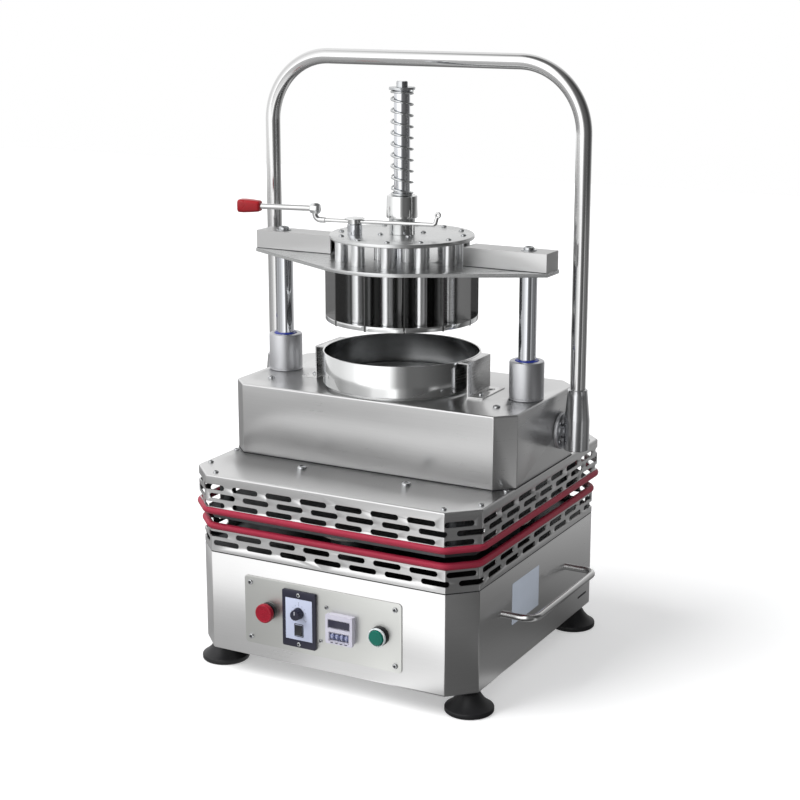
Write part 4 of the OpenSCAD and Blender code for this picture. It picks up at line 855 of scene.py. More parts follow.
class DIVIDER_OT_tray(bpy.types.Operator):
    """Folds the tray with its slotted skirt, and the press housing that stands on it"""
    bl_idname = "divider.tray"
    bl_label = "Tray and press housing"

    def execute(self, context):
        tray = folded_cover("tray_cover", rows=(TRAY_TOP_ROW, 3), top=[inset_outline("press_housing", 5)])
        finished("tray_sheet", tray, "carriage", "tray_steel", "tray_cover")
        width, depth, centre = footprint("press_housing")
        floor = mm_box("press_housing")[0].z
        # round the sheet from the front's middle to a side's middle, then on to the pivot
        pivot_y = mm_box("pivot_flanges")[0].y + FLANGE_RADIUS
        to_pivot = (width + depth) / 2 - LEGS["press_housing"] * (2 - ROOT) + pivot_y - centre
        box = folded_cover("press_housing", top=[circle_loop(x, PRESS_Y, 20.2) for x in (-POST_X, POST_X)],
                           wall_holes=[circle_loop(side * to_pivot, PIVOT_Z, 14.5) for side in (-1, 1)])
        # painted shade: a dark line where the press housing stands on the tray
        line = seam_line("press_housing", floor, floor + 1.1, 0.5)
        finished("press_box", joined(box, line), "carriage", "brushed_steel", "press_housing")
        return {"FINISHED"}


class DIVIDER_OT_trims(bpy.types.Operator):
    """Lays the red edge trims round the apron and the tray"""
    bl_idname = "divider.trims"
    bl_label = "Edge trims"

    def execute(self, context):
        size = sizes()
        radius, bend = size.trim_radius / METRE, size.trim_bend / METRE
        # a trim's middle runs this far inside the sheet's face
        inset = 1
        for node, body, sheet in (
                ("lower_trim", "base", "lower_apron"), ("upper_trim", "carriage", "tray_cover")):
            width, depth, _ = footprint(node)
            leg = LEGS[sheet] - inset * (2 - ROOT)
            corners = outline_corners(width - 2 * radius, depth - 2 * radius, leg)
            bead = rod([(*corner, mm_middle(node).z) for corner in corners], radius, bend, "trim",
                       cyclic=True, sides=28, steps=8)
            finished(node.replace("trim", "bead"), bead, body, "red_trim", node)
        return {"FINISHED"}


class DIVIDER_OT_feet(bpy.types.Operator):
    """Turns one rubber foot and sets it out four times"""
    bl_idname = "divider.feet"
    bl_label = "Rubber feet"

    def execute(self, context):
        foot = turned(bmesh.new(), [
            (0, 0), (34, 0), (37.2, 0.5), (38.8, 2), (FOOT_RADIUS, 4), (FOOT_RADIUS, 7.6), (38.5, 8.8),
            (37.2, 9.7), (33, 12.2), (27, 17.5), (21.5, 24), (18, 30), (16.4, 32), (13.6, 33.6),
            (13, 34.5), (13, 40), (0, 40)])
        low, high = mm_box("rubber_feet")
        marks = [((x, y, 0), UP) for x in (low.x + FOOT_RADIUS, high.x - FOOT_RADIUS)
                 for y in (low.y + FOOT_RADIUS, high.y - FOOT_RADIUS)]
        finished("feet", set_out(to_mesh(foot), marks, "foot"), "base", "foot_rubber", "rubber_feet")
        return {"FINISHED"}


# Profiles of screws in parts of their radius and height, with the lobes of the socket: a pan head,
# a low flat head, and a dark filling of a socket, which is painted shade
PAN = ((0, 0), (1, 0), (1, 0.3), (0.95, 0.6), (0.82, 0.85), (0.66, 1), (0.54, 1, 0.16), (0.51, 0.94, 0.18),
       (0.50, 0.3, 0.18), (0, 0.22))
FLAT = ((0, 0), (1, 0), (1, 0.6), (0.94, 1), (0.5, 1), (0.5, 0.3, 0.1), (0, 0.3))
SOCKET_SHADE = ((0, 0.4), (0.53, 0.4, 0.18), (0.53, 0.99, 0.18), (0, 0.99))


def fixings(radius, height, seed, marks, head=PAN):
    """Screws at marks with painted shade filling their sockets, each turned by chance."""
    sets, any_turn = [], 6.28
    for profile, sides, finish in ((head, 36 if head is PAN else 30, "screw"), (SOCKET_SHADE, 36, "painted_shade")):
        part = turned(bmesh.new(), [(radius * r, height * h, *lobe) for r, h, *lobe in profile], sides=sides)
        sets.append(set_out(to_mesh(part), marks, finish, any_turn, seed))
    return joined(*sets)


def faced(places, facing=UP):
    return [(place, facing) for place in places]


def pin_places(level):
    """Where the sixteen press pins stand, twelve outside and four inside."""
    return faced([(radius * math.cos(a), PRESS_Y + radius * math.sin(a), level)
                  for radius, count, start in ((101, 12, 15), (36, 4, 45))
                  for a in circle(count, math.radians(start))])


class DIVIDER_OT_screws(bpy.types.Operator):
    """Sets out the screws of the panel, the tray, the press housing and the top disc"""
    bl_idname = "divider.screws"
    bl_label = "Screws"

    def execute(self, context):
        low, high = mm_box("control_panel")
        margin = 11
        corners = [(x, PANEL_FACE, z) for x in (low.x + margin, high.x - margin)
                   for z in (low.z + margin, high.z - margin)]
        by_timer = [(5, PANEL_FACE, 149), (-6, PANEL_FACE, 91)]
        low, high = mm_box("speed_frame")
        on_frame = [(mm_middle("speed_frame").x, low.y, z) for z in (low.z + 6, high.z - 6)]
        sets = (4.5, 2.6, 3, corners), (3.4, 2.6, 5, by_timer), (3.6, 1.8, 9, on_frame)
        panel = joined(*(fixings(radius, height, seed, faced(places, FORWARD))
                         for radius, height, seed, places in sets))
        finished("panel_fixings", panel, "base", "screw_steel", "panel_screws")

        tray = mm_box("tray_cover")[1]
        low, high = mm_box("press_housing")
        middle = mm_middle("press_housing").y
        flange = mm_box("pivot_flanges")[1].x
        # how far in from their sheet's edges, sideways and along, the screws of the rim and the lid stand
        rim_insets, lid_side, lid_end, corner_in = ((12, 61), (52, 16)), 49, 56, 8.34
        # the heavy screws' place and distance from the housing, the brackets' place, the flanges' circle
        heavy_x, heavy_out, bracket_x, bracket_front, ring = 95, 33, 154, 20.5, 21.6
        rim, heavy, lid, brackets, flanges = [], [], [], [], []
        for x in (-1, 1):
            for y in (-1, 1):
                rim += [(x * (tray.x - across), y * (tray.y - along), tray.z) for across, along in rim_insets]
                lid.append((x * (high.x - lid_side), middle + y * (high.y - middle - lid_end), high.z))
            rim.append((x * (high.x - corner_in), low.y + corner_in, tray.z))
            heavy += [(x * heavy_x, y, tray.z) for y in (low.y - heavy_out, high.y + heavy_out)]
            brackets.append((x * bracket_x, PRESS_Y - bracket_front, high.z + 2))
            flanges += faced([(x * flange, PIVOT_Y + ring * math.cos(a), PIVOT_Z + ring * math.sin(a))
                              for a in circle(4, EIGHTH)], (x, 0, 0))
        cover = joined(fixings(4.5, 2.6, 11, faced(rim)), fixings(7.65, 4, 13, faced(heavy)),
                       fixings(5.85, 3, 17, faced(lid)), fixings(4.5, 3, 19, faced(brackets)),
                       fixings(3, 1.2, 23, flanges, FLAT))
        finished("cover_fixings", cover, "carriage", "screw_steel", "cover_screws")

        disc = fixings(4.5, 2.6, 29, pin_places(mm_box("top_disc")[1].z))
        finished("disc_fixings", disc, "presser", "screw_steel", "disc_screws")
        return {"FINISHED"}


# Controls

def on_panel(x, z):
    """A matrix with Z out of the control panel at x, z, and Y up."""
    return shift(x, PANEL_FACE, z) @ spun(QUARTER, "X")


def lettering(text, size_mm, place, finish, depth_mm):
    """Numbers on a dial as a thin printed mesh."""
    curve = bpy.data.curves.new("number", "FONT")
    curve.body, curve.size, curve.extrude, curve.resolution_u = text, size_mm, depth_mm, 2
    curve.align_x, curve.align_y = "CENTER", "CENTER"
    mesh = plain_mesh(linked("number", curve))
    mesh.transform(Matrix.Scale(METRE, 4) @ place)
    return in_finish(mesh, finish)


class DIVIDER_OT_panel(bpy.types.Operator):
    """Makes the control panel's plate, the push buttons and their collars"""
    bl_idname = "divider.panel"
    bl_label = "Panel and buttons"

    def execute(self, context):
        low, high = mm_box("control_panel")
        middle = mm_middle("control_panel")
        width, thick, height = high - low
        plate = slab(bmesh.new(), width, height, 6, 0, thick, 0.5,
                     shift(middle.x, high.y, middle.z) @ spun(QUARTER, "X"), 8)
        finished("panel_plate", skin(plate, "panel"), "base", "panel_steel", "control_panel")

        stop, start = (
            on_panel(mm_middle(node).x, mm_middle(node).z) for node in ("stop_button", "start_button"))
        # a mushroom cap with a shallow dish, and a flat cap in a bezel
        cap = turned(bmesh.new(), [
            (0, 4.3), (8.9, 4.3), (8.9, 9.5), (14.6, 9.5), (15.5, 10.3), (15.5, 15.4), (15.2, 16.4),
            (14.3, 17.2), (13.4, 17.4), (12.6, 17.0), (12.2, 16.9), (6, 17.4), (0, 17.6)], stop)
        finished("stop_cap", skin(cap, "stop"), "stop_key", "red_plastic", "stop_button")
        face = turned(bmesh.new(), [
            (0, 9.5), (12.4, 9.5), (12.4, 14.2), (12.0, 15.2), (11.2, 15.8), (5, 16.3), (0, 16.4)], start)
        finished("start_cap", skin(face, "start"), "start_key", "green_plastic", "start_button")

        collars = bmesh.new()
        turned(collars, [(14.5, 0), (14.5, 4), (13.6, 5), (9.4, 5), (9.4, 0)], stop, closed=True)
        turned(collars, [(15.5, 0), (15.5, 9), (15.0, 10), (12.8, 10), (12.8, 0)], start, closed=True)
        bezel = turned(bmesh.new(), [
            (12.85, 6.1), (15.1, 10.05), (15.1, 12.6), (14.6, 13.6), (13.7, 14.0), (12.85, 13.2)],
            start, closed=True)
        finished("button_rings", joined(skin(collars, "black"), skin(bezel, "bezel")),
                 "base", "black_plastic", "button_collars")
        return {"FINISHED"}


class DIVIDER_OT_controller(bpy.types.Operator):
    """Makes the speed controller: frame, pale face with a scale, knob and rocker switch"""
    bl_idname = "divider.controller"
    bl_label = "Speed controller"

    def execute(self, context):
        low, high = mm_box("speed_frame")
        middle = mm_middle("speed_frame")
        width, thick, height = high - low
        knob_low, knob_high = mm_box("speed_knob")
        place = on_panel(middle.x, middle.z)
        dial = on_panel(middle.x, mm_middle("speed_knob").z)
        key_at = on_panel(middle.x, mm_middle("rocker_switch").z)
        # the frame steps down inside its border to the face
        border = loft(bmesh.new(), [
            *(rounded_outline(width, height, 2.5, level, inset)
              for inset, level in ((0, 0), (0, thick - 0.8), (0.25, thick - 0.2), (0.8, thick))),
            rounded_outline(width - 11, height - 24, 1.2, thick),
            rounded_outline(width - 11.6, height - 24.6, 1.2, thick - 0.5)], place)
        face = slab(bmesh.new(), width - 12.2, height - 25.2, 1, thick - 0.9, thick - 0.35, 0.1, place)
        # the scale: eleven ticks over three quarters of a turn, every fifth one longer and numbered
        ticks, numbers = bmesh.new(), []
        for k in range(11):
            a = math.radians(225 - 27 * k)
            long = 1.5 if k % 5 else 2.4
            loft(ticks, [[Vector((x * long / 2, y * 0.22, level)) for x, y in SQUARE]
                         for level in (-0.06, 0.04)],
                 dial @ spun(a, "Z") @ shift(12.4 + long / 2, 0, thick - 0.3))
            if k % 5 == 0:
                spot = dial @ shift(17.6 * math.cos(a), 17.0 * math.sin(a), thick - 0.3)
                numbers.append(lettering(str(k), 3.0, spot, "ink", 0.05))
        surround = loft(bmesh.new(), [rounded_outline(w, h, 1.2, thick - depth) for w, h, depth in (
            (16.6, 21.4, 0.36), (16.6, 21.4, 0.05), (13.6, 19.8, 0.02), (13.4, 19.6, 2.2))], key_at)
        mesh = joined(skin(border, "frame"), skin(face, "face"), skin(ticks, "ink"),
                      skin(surround, "frame"), *numbers)
        finished("speed_plate", mesh, "base", "black_plastic", "speed_frame")

        outer = (knob_high.x - knob_low.x) / 2
        top, base = PANEL_FACE - knob_low.y, thick + 0.35

        def fluted(radius, level, depth):
            """A ring with twelve flutes."""
            rounds = [(a, radius * (1 - depth * max(0, math.cos(12 * a)) ** 2)) for a in circle(96)]
            return [Vector((r * math.cos(a), r * math.sin(a), level)) for a, r in rounds]

        knob = loft(bmesh.new(), [fluted(outer * share, level, depth) for share, level, depth in (
            (1, base, 0), (1, base + 1.6, 0), (0.965, base + 2.4, 0.03), (0.93, base + 4, 0.10),
            (0.88, top - 1.2, 0.10), (0.84, top - 0.6, 0.05), (0.76, top - 0.4, 0))], dial)
        turned(knob, [(3, -0.3), (3, base + 0.5)], dial, 24)
        pointer = slab(bmesh.new(), 1.1, outer * 0.62, 0.4, top - 0.5, top, 0.1,
                       dial @ shift(0, outer * 0.42), 3)
        finished("speed_dial", joined(skin(knob, "frame"), skin(pointer, "ink_pale")),
                 "knob", "black_plastic", "speed_knob")
        rocker = eased_copy("rocker_switch", "black", 0.35, 3, 35)
        finished("rocker_key", rocker, "rocker", "black_plastic", "rocker_switch")
        return {"FINISHED"}


class DIVIDER_OT_timer(bpy.types.Operator):
    """Makes the timer: case with bezel, dark window, and four digit wheels with numbers"""
    bl_idname = "divider.timer"
    bl_label = "Timer"

    def execute(self, context):
        middle = mm_middle("timer_case")
        deep = PANEL_FACE - mm_box("timer_case")[0].y
        axle = mm_middle("digit_wheel_1")
        window_at, wheels_at = on_panel(middle.x, middle.z + 9), on_panel(middle.x, axle.z)
        window = slab(bmesh.new(), 37.4, 12.4, 0.8, deep - 0.85, deep - 0.35, 0.1, window_at)
        lip = bmesh.new()
        for width, height, place in ((39.4, 14.4, window_at), (36.6, 15.6, wheels_at)):
            loft(lip, [rounded_outline(width - less, height - less, 1.2, deep - down)
                       for less, down in ((0, 0.1), (0, 0), (1, 0), (1, 0.1))], place, closed=True)
        # the small keys under the four wheels
        keys = bmesh.new()
        for k in range(4):
            slab(keys, 5.2, 1.6, 0.4, deep - 0.2, deep, 0.1, wheels_at @ shift((k - 1.5) * 8.4, -9.6), 3)
        mesh = joined(eased_copy("timer_case", "case", 0.4), skin(window, "window"), skin(lip, "case"),
                      skin(keys, "wheel"))
        finished("timer_shell", mesh, "base", "timer_plastic", "timer_case")

        shown = 0, 0, 3, 5
        for i, first in enumerate(shown, 1):
            node = f"digit_wheel_{i}"
            low, high = mm_box(node)
            radius, half = (high.z - low.z) / 2, (high.x - low.x) / 2
            hub = shift(mm_middle(node).x, axle.y, axle.z)
            across = hub @ spun(QUARTER, "Y")
            rim = ((1.25, half), (radius * 0.8, half), (radius * 0.86, half - 0.3),
                   (radius * 0.86, half - 1.2), (radius * 0.985, half - 1.5))
            profile = [(r, -h) for r, h in rim] + list(reversed(rim))
            wheel = turned(bmesh.new(), profile, across, 40, closed=True)
            teeth = bmesh.new()
            for end in (-1, 1):
                for a in circle(10, math.radians(18)):
                    slab(teeth, radius * 0.15, 1.0, 0.2, -0.4, 0.4, 0.1,
                         across @ spun(a, "Z") @ shift(radius * 0.9, 0, end * (half - 0.75)), 2)
            digits = []
            for k, a in enumerate(circle(10)):
                spot = hub @ spun(a, "X") @ shift(0, -radius * 0.985) @ spun(QUARTER, "X")
                digits.append(lettering(str((k + first) % 10), 4.2, spot, "ink_pale", 0.08))
            finished(f"digit_dial_{i}", joined(skin(wheel, "wheel"), skin(teeth, "wheel"), *digits),
                     f"wheel_{i}", "wheel_plastic", node)
        return {"FINISHED"}


# Side handles, gland, bowl and guides

class DIVIDER_OT_side_handles(bpy.types.Operator):
    """Bends the two carrying handles on the cabinet's sides"""
    bl_idname = "divider.side_handles"
    bl_label = "Side handles"

    def execute(self, context):
        low, high = mm_box("side_handles")
        wall, out = mm_box("cabinet_shell")[1].x, high.x - ROD_RADIUS
        front, back, level = low.y + 9, high.y - 9, mm_middle("side_handles").z
        path = (wall, front), (out, front), (out, back), (wall, back)
        pair = [rod([(side * x, y, level) for x, y in path], ROD_RADIUS, 20, "tube", sides=28, steps=10)
                for side in (-1, 1)]
        finished("carrying_handles", joined(*pair), "base", "polished_steel", "side_handles")
        return {"FINISHED"}


class DIVIDER_OT_gland(bpy.types.Operator):
    """Makes the cable gland at the back"""
    bl_idname = "divider.gland"
    bl_label = "Cable gland"

    def execute(self, context):
        middle = mm_middle("cable_gland")
        wall = mm_box("cabinet_shell")[1].y
        end = mm_box("cable_gland")[1].y - wall
        gland = turned(bmesh.new(), [
            (12, 0), (12, 6.2), (11.2, 7), (9.6, 7.2), (9.4, 8.2), (8.6, end - 4), (7, end - 0.6),
            (6.2, end), (3.7, end), (3.6, -8), (8, -8), (8, 0)],
            toward((middle.x, wall, middle.z), (0, 1, 0)), 36, closed=True)
        finished("gland_body", skin(gland, "black"), "base", "black_plastic", "cable_gland")
        return {"FINISHED"}


class DIVIDER_OT_bowl(bpy.types.Operator):
    """Turns the dough ring and the work plate, and folds the ring's brackets"""
    bl_idname = "divider.bowl"
    bl_label = "Dough bowl"

    def execute(self, context):
        low, high = mm_box("dough_ring")
        outer = (high.x - low.x) / 2
        inner = outer - 3
        ring = turned(bmesh.new(), [
            (outer - 0.6, low.z), (outer, low.z + 0.7), (outer, high.z - 1.1), (outer - 0.5, high.z - 0.3),
            (outer - 1.3, high.z), (inner + 0.7, high.z - 0.1), (inner, high.z - 0.9),
            (inner, low.z + 0.6), (inner + 0.5, low.z)], PRESS_AXIS, 144, closed=True)
        # a thin lining of darker grey steel on the ring's inner wall
        liner = turned(bmesh.new(), [
            (inner - 0.04, low.z + 0.8), (inner + 0.4, low.z + 0.8),
            (inner + 0.4, high.z - 1.6), (inner - 0.04, high.z - 1.6)], PRESS_AXIS, 144, closed=True)
        finished("bowl_ring", joined(skin(ring, "polished"), skin(liner, "worn")),
                 "carriage", "polished_steel", "dough_ring")
        low, high = mm_box("work_plate")
        edge = (high.x - low.x) / 2
        plate = turned(bmesh.new(), [
            (0, low.z), (edge, low.z), (edge, high.z - 1), (edge - 0.3, high.z - 0.3), (edge - 1, high.z),
            (edge * 0.66, high.z), (edge * 0.33, high.z), (0, high.z)], PRESS_AXIS, 120)
        finished("bowl_plate", skin(plate, "yoke"), "carriage", "plate_steel", "work_plate")
        finished("bowl_brackets", eased_copy("ring_brackets", "small_sheet", 0.45),
                 "carriage", "sheet_steel", "ring_brackets")
        return {"FINISHED"}


def at_posts(profile, finish, sides=64, closed=True):
    """A profile turned at both guide posts."""
    shape = bmesh.new()
    for x in (-POST_X, POST_X):
        turned(shape, profile, shift(x, PRESS_Y), sides, closed)
    return skin(shape, finish)


class DIVIDER_OT_guides(bpy.types.Operator):
    """Turns the guide posts, their bushes and the blue seals"""
    bl_idname = "divider.guides"
    bl_label = "Posts and bushes"

    def execute(self, context):
        low, top = (corner.z for corner in mm_box("guide_bushes"))
        lid = mm_box("press_housing")[1].z
        outer, bore, seat = 27.75, POST_RADIUS + 0.1, POST_RADIUS + 5.05
        bush = at_posts([
            (outer - 0.8, lid), (outer, lid + 0.8), (outer, lid + 3), (outer - 0.5, lid + 3.4),
            (outer - 0.5, lid + 4.4), (outer, lid + 4.8), (outer, top - 2.2), (outer - 0.6, top - 0.8),
            (outer - 2, top), (seat + 0.55, top), (seat, top - 0.6), (seat, top - 5),
            (bore, top - 5), (bore, low), (19.9, low), (19.9, lid)], "bush")
        finished("bushes", bush, "carriage", "satin_aluminium", "guide_bushes")
        low, top = (corner.z for corner in mm_box("bush_seals"))
        seal = at_posts([(POST_RADIUS + out, z) for out, z in (
            (5, low), (5, top - 1.2), (4.2, top - 0.3), (3, top), (1.4, top - 0.4), (0.15, top),
            (0.1, low))], "seal")
        finished("wiper_seals", seal, "carriage", "blue_seal", "bush_seals")
        low, top = (corner.z for corner in mm_box("guide_posts"))
        posts = at_posts([
            (0, low), (POST_RADIUS - 1, low), (POST_RADIUS, low + 1), (POST_RADIUS, top), (0, top)],
            "chrome", 72, False)
        finished("post_rods", posts, "head", "hard_chrome", "guide_posts")
        return {"FINISHED"}


# Head, presser and lever

class DIVIDER_OT_head(bpy.types.Operator):
    """Makes the yoke, the beams with their bolts, and the knives"""
    bl_idname = "divider.head"
    bl_label = "Yoke, beams and knives"

    def execute(self, context):
        # painted shade: a dark disc for a small hole in the yoke, and a dark line for the shadow where a beam
        # stands on it
        hole_x, hole_y, hole, beam_start = -87.3, -82.5, 2.8, 121
        dark = turned(bmesh.new(), [(0, -0.1), (hole, -0.1), (hole, 0.06), (0, 0.06)],
                      shift(hole_x, hole_y, mm_box("yoke_plate")[1].z), 32)
        low, high = mm_box("cross_beams")
        section = ((-0.35, 0), (1, 0), (1, 0.9), (-0.35, 0.9))
        for side in (-1, 1):
            loft(dark, [[Vector((side * x, low.y + y, low.z + z)) for y, z in section]
                        for x in (beam_start, high.x - 0.5)])
        yoke = joined(eased_copy("yoke_plate", "yoke", 0.7, 3), skin(dark, "painted_shade"))
        finished("yoke", yoke, "head", "sheet_steel", "yoke_plate")
        finished("beams", eased_copy("cross_beams", "beam", 1.3, 3), "head", "beam_steel", "cross_beams")

        # a washer, a round head with a socket, and the bolt's shank down into the post
        shank = mm_box("beam_bolts")[0].z - high.z
        bolt, socket_shade = bmesh.new(), bmesh.new()
        for x in (-POST_X, POST_X):
            place = shift(x, PRESS_Y, high.z)
            turned(bolt, [
                (0, 0), (12.4, 0), (12.4, 1.1), (12, 1.5), (8.6, 1.6), (8.6, 3.4), (8.2, 4.8), (7.2, 5.7),
                (5.8, 6, 0.06), (5.4, 5.7, 0.08), (5.2, 2.4, 0.08), (0, 2.2)], place, 48)
            # painted shade filling the bolt's socket
            turned(socket_shade, [(0, 2.6), (5.1, 2.6, 0.08), (5.1, 4.4, 0.08), (0, 4.4)], place, 36)
            turned(bolt, [(0, shank), (5, shank), (5, 0.1), (0, 0.1)], place, 24)
        finished("beam_fixings", joined(skin(bolt, "screw"), skin(socket_shade, "painted_shade")),
                 "head", "screw_steel", "beam_bolts")
        finished("knives", eased_copy("knife_cage", "knife", 0.3, 1), "head", "knife_steel", "knife_cage")

        low, high = mm_box("centre_shaft")
        nut_low = mm_box("shaft_nut")[0].z
        shaft = turned(bmesh.new(), [
            (0, low.z), (6.5, low.z), (6.5, low.z + 6.1), (13, low.z + 6.1), (13, nut_low - 1),
            (12.2, nut_low), (6.5, nut_low), (6.5, high.z - 1), (5.6, high.z), (0, high.z)], PRESS_AXIS, 64)
        finished("shaft", skin(shaft, "chrome"), "head", "hard_chrome", "centre_shaft")

        def hexagon(radius, level):
            return [Vector((radius * math.cos(a + ease), radius * math.sin(a + ease), level))
                    for a in circle(6) for ease in (-0.1, 0.1)]

        base = nut_low + 4
        nut = turned(bmesh.new(), [
            (20.4, nut_low), (21, nut_low + 0.6), (21, base - 0.6), (20.4, base), (6.55, base),
            (6.55, nut_low)], PRESS_AXIS, 64, closed=True)
        loft(nut, [hexagon(radius, base + rise) for radius, rise in (
            (6.6, 0), (9.8, 0), (9.8, 7.6), (9.0, 9), (6.6, 9))], PRESS_AXIS, closed=True)
        finished("shaft_lock", skin(nut, "screw"), "head", "screw_steel", "shaft_nut")
        return {"FINISHED"}


class DIVIDER_OT_presser(bpy.types.Operator):
    """Makes the top disc, the collar, the press pins and the press plates"""
    bl_idname = "divider.presser"
    bl_label = "Press plates and disc"

    def execute(self, context):
        low, high = mm_box("top_disc")
        edge, bore = (high.x - low.x) / 2, 13.1
        disc = turned(bmesh.new(), [
            (edge - 0.6, low.z), (edge, low.z + 0.8), (edge, high.z - 1.2), (edge - 0.4, high.z - 0.4),
            (edge - 1.2, high.z), (edge * 0.6, high.z), (bore, high.z), (bore, low.z), (edge * 0.6, low.z)],
            PRESS_AXIS, 128, closed=True)
        # a dark ring on the disc's underside, painted shade so that the yoke below shows the disc's shadow in
        # its reflection
        under = turned(bmesh.new(), [(radius, low.z + z) for radius, z in (
            (bore + 0.1, -0.05), (edge - 3, -0.05), (edge - 3, 0.4), (bore + 0.1, 0.4))],
            PRESS_AXIS, 96, closed=True)
        finished("disc", joined(skin(disc, "yoke"), skin(under, "mill")),
                 "presser", "polished_steel", "top_disc")

        low, high = mm_box("spring_collar")
        step = high.z - 36
        collar = turned(bmesh.new(), [
            (20.4, low.z), (21, low.z + 0.6), (21, step - 2), (21.6, step - 0.6), (24, step), (25, step + 1),
            (25, high.z - 1.6), (24.5, high.z - 0.5), (23.4, high.z), (bore, high.z), (bore, low.z)],
            PRESS_AXIS, 72, closed=True)
        finished("collar", skin(collar, "polished"), "presser", "polished_steel", "spring_collar")

        low, high = mm_box("press_pins")
        tall = high.z - low.z
        pin = to_mesh(turned(bmesh.new(), [
            (0, 0), (9.6, 0), (10.5, 0.9), (10.5, tall - 0.4), (10.2, tall), (0, tall)], sides=40))
        finished("pins", set_out(pin, pin_places(low.z), "pin"), "presser", "pin_steel", "press_pins")
        finished("plates", eased_copy("press_plates", "polished", 0.5),
                 "presser", "plate_steel", "press_plates")

        middle = mm_middle("lever_post")
        place = shift(middle.x, middle.y, mm_box("lever_post")[0].z)
        neck = turned(bmesh.new(), [
            (0, 0), (11.6, 0), (12, 0.4), (12, 15.8), (11, 16.9), (5, 16.9), (5, 25.2), (0, 25.2)], place, 56)
        cap = turned(bmesh.new(), [
            (0, 25.1), (15.8, 25.1), (16.5, 25.5), (16.3, 26.1), (14.2, 26.9), (9, 27.7), (4.6, 28.0),
            (0, 28.1)], place, 56)
        finished("lever_stud", joined(skin(neck, "chrome"), skin(cap, "polished")),
                 "presser", "polished_steel", "lever_post")
        return {"FINISHED"}


class DIVIDER_OT_spring(bpy.types.Operator):
    """Winds the spring on the centre shaft"""
    bl_idname = "divider.spring"
    bl_label = "Shaft spring"

    def execute(self, context):
        size = sizes()
        low, high = mm_box("shaft_spring")
        wire, length = size.wire / 2, (high.z - low.z) * METRE
        # a closed turn at each end, and the open turns between them
        closed, coil_radius = 0.0026, 0.017
        parts = []
        for turns, height, base in ((1, closed, 0), (size.turns - 2, length - 2 * closed - 2 * wire, closed),
                                    (1, closed, length - closed - 2 * wire)):
            coil = grow("coil", bpy.data.meshes.new("blank"), "spring", Turns=float(turns),
                        Coil_Radius=coil_radius, Wire_Radius=wire, Length=height, Sides=14)
            coil.transform(shift(0, PRESS_Y * METRE, low.z * METRE + base + wire))
            parts.append(coil)
        piece = finished("coil_spring", joined(*parts), "head", "spring_steel", "shaft_spring")
        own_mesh(piece)
        return {"FINISHED"}


class DIVIDER_OT_lever(bpy.types.Operator):
    """Bends the lock lever and dips its grip"""
    bl_idname = "divider.lever"
    bl_label = "Lock lever"

    def execute(self, context):
        # the lever lies on the post's neck, turned a little forward; its grip's rod is raised
        post = mm_middle("lever_post")
        neck, half_eye, raised, forward = 17, 4, 18, math.radians(11.5)
        place = shift(post.x, post.y, mm_box("top_disc")[1].z + neck + half_eye) @ spun(forward, "Z")
        # the arm with its hook, a pin under it, the stub, the grip's rod, and the loop on the hook
        loop = [(138.4 + 3.6 * math.sin(a), 0, 15.4 - 3.6 * math.cos(a)) for a in circle(10)]
        fine = {"sides": 26}
        rods = (
            (((137, 0, 12), (134, 0, 0), (-56, 0, 0)), 3.2, 5, fine),
            (((98, 0, 0), (98, 0, -17)), 2.2, 1, fine),
            (((-50, 0, 0), (-67, 0, 0), (-67, 0, 16)), 4.6, 9, fine),
            (((-67, 0, raised), (-163, 0, raised)), 4.6, 1, fine),
            (loop, 1.9, 0.5, {"cyclic": True, "sides": 16, "steps": 2}))
        parts = [rod([place @ Vector(p) for p in path], radius, bend, "tube", **how)
                 for path, radius, bend, how in rods]
        eye = turned(bmesh.new(), [
            (5.1, -half_eye), (10.4, -half_eye), (11, -3.3), (11, 3.3), (10.4, half_eye), (5.1, half_eye)],
            place, 48, closed=True)
        # the faceted nut that clamps the grip's rod on the stub
        nut = ((-58.6, 5.6), (-59.2, 7.2), (-61.5, 8.8), (-66, 9.2), (-72, 8.8), (-74.6, 7.2), (-75.4, 5.2))
        loft(eye, [[Vector((x, r * math.cos(a), raised + r * math.sin(a))) for a in circle(8, 0.2)]
                   for x, r in nut], place)
        finished("lock_rod", joined(*parts, skin(eye, "polished")), "lever", "polished_steel", "lock_lever")
        # the grip's half widths and corners along its length
        rings = (
            (-199, 6.4, 3), (-198.7, 9, 4), (-197.6, 10.6, 5), (-195, 11.2, 5), (-188, 11.3, 5),
            (-176, 10.5, 4.8), (-165, 9.4, 4.6), (-162.4, 8.9, 4.4), (-161.2, 7.8, 4), (-161, 6.4, 3.6))
        grip = loft(bmesh.new(), [
            [Vector((x, p.x, raised + p.y)) for p in rounded_outline(2 * w, 2 * w * 0.94, r, steps=5)]
            for x, w, r in rings], place)
        finished("dipped_grip", skin(grip, "grip"), "lever", "grip_plastic", "lever_grip")
        return {"FINISHED"}


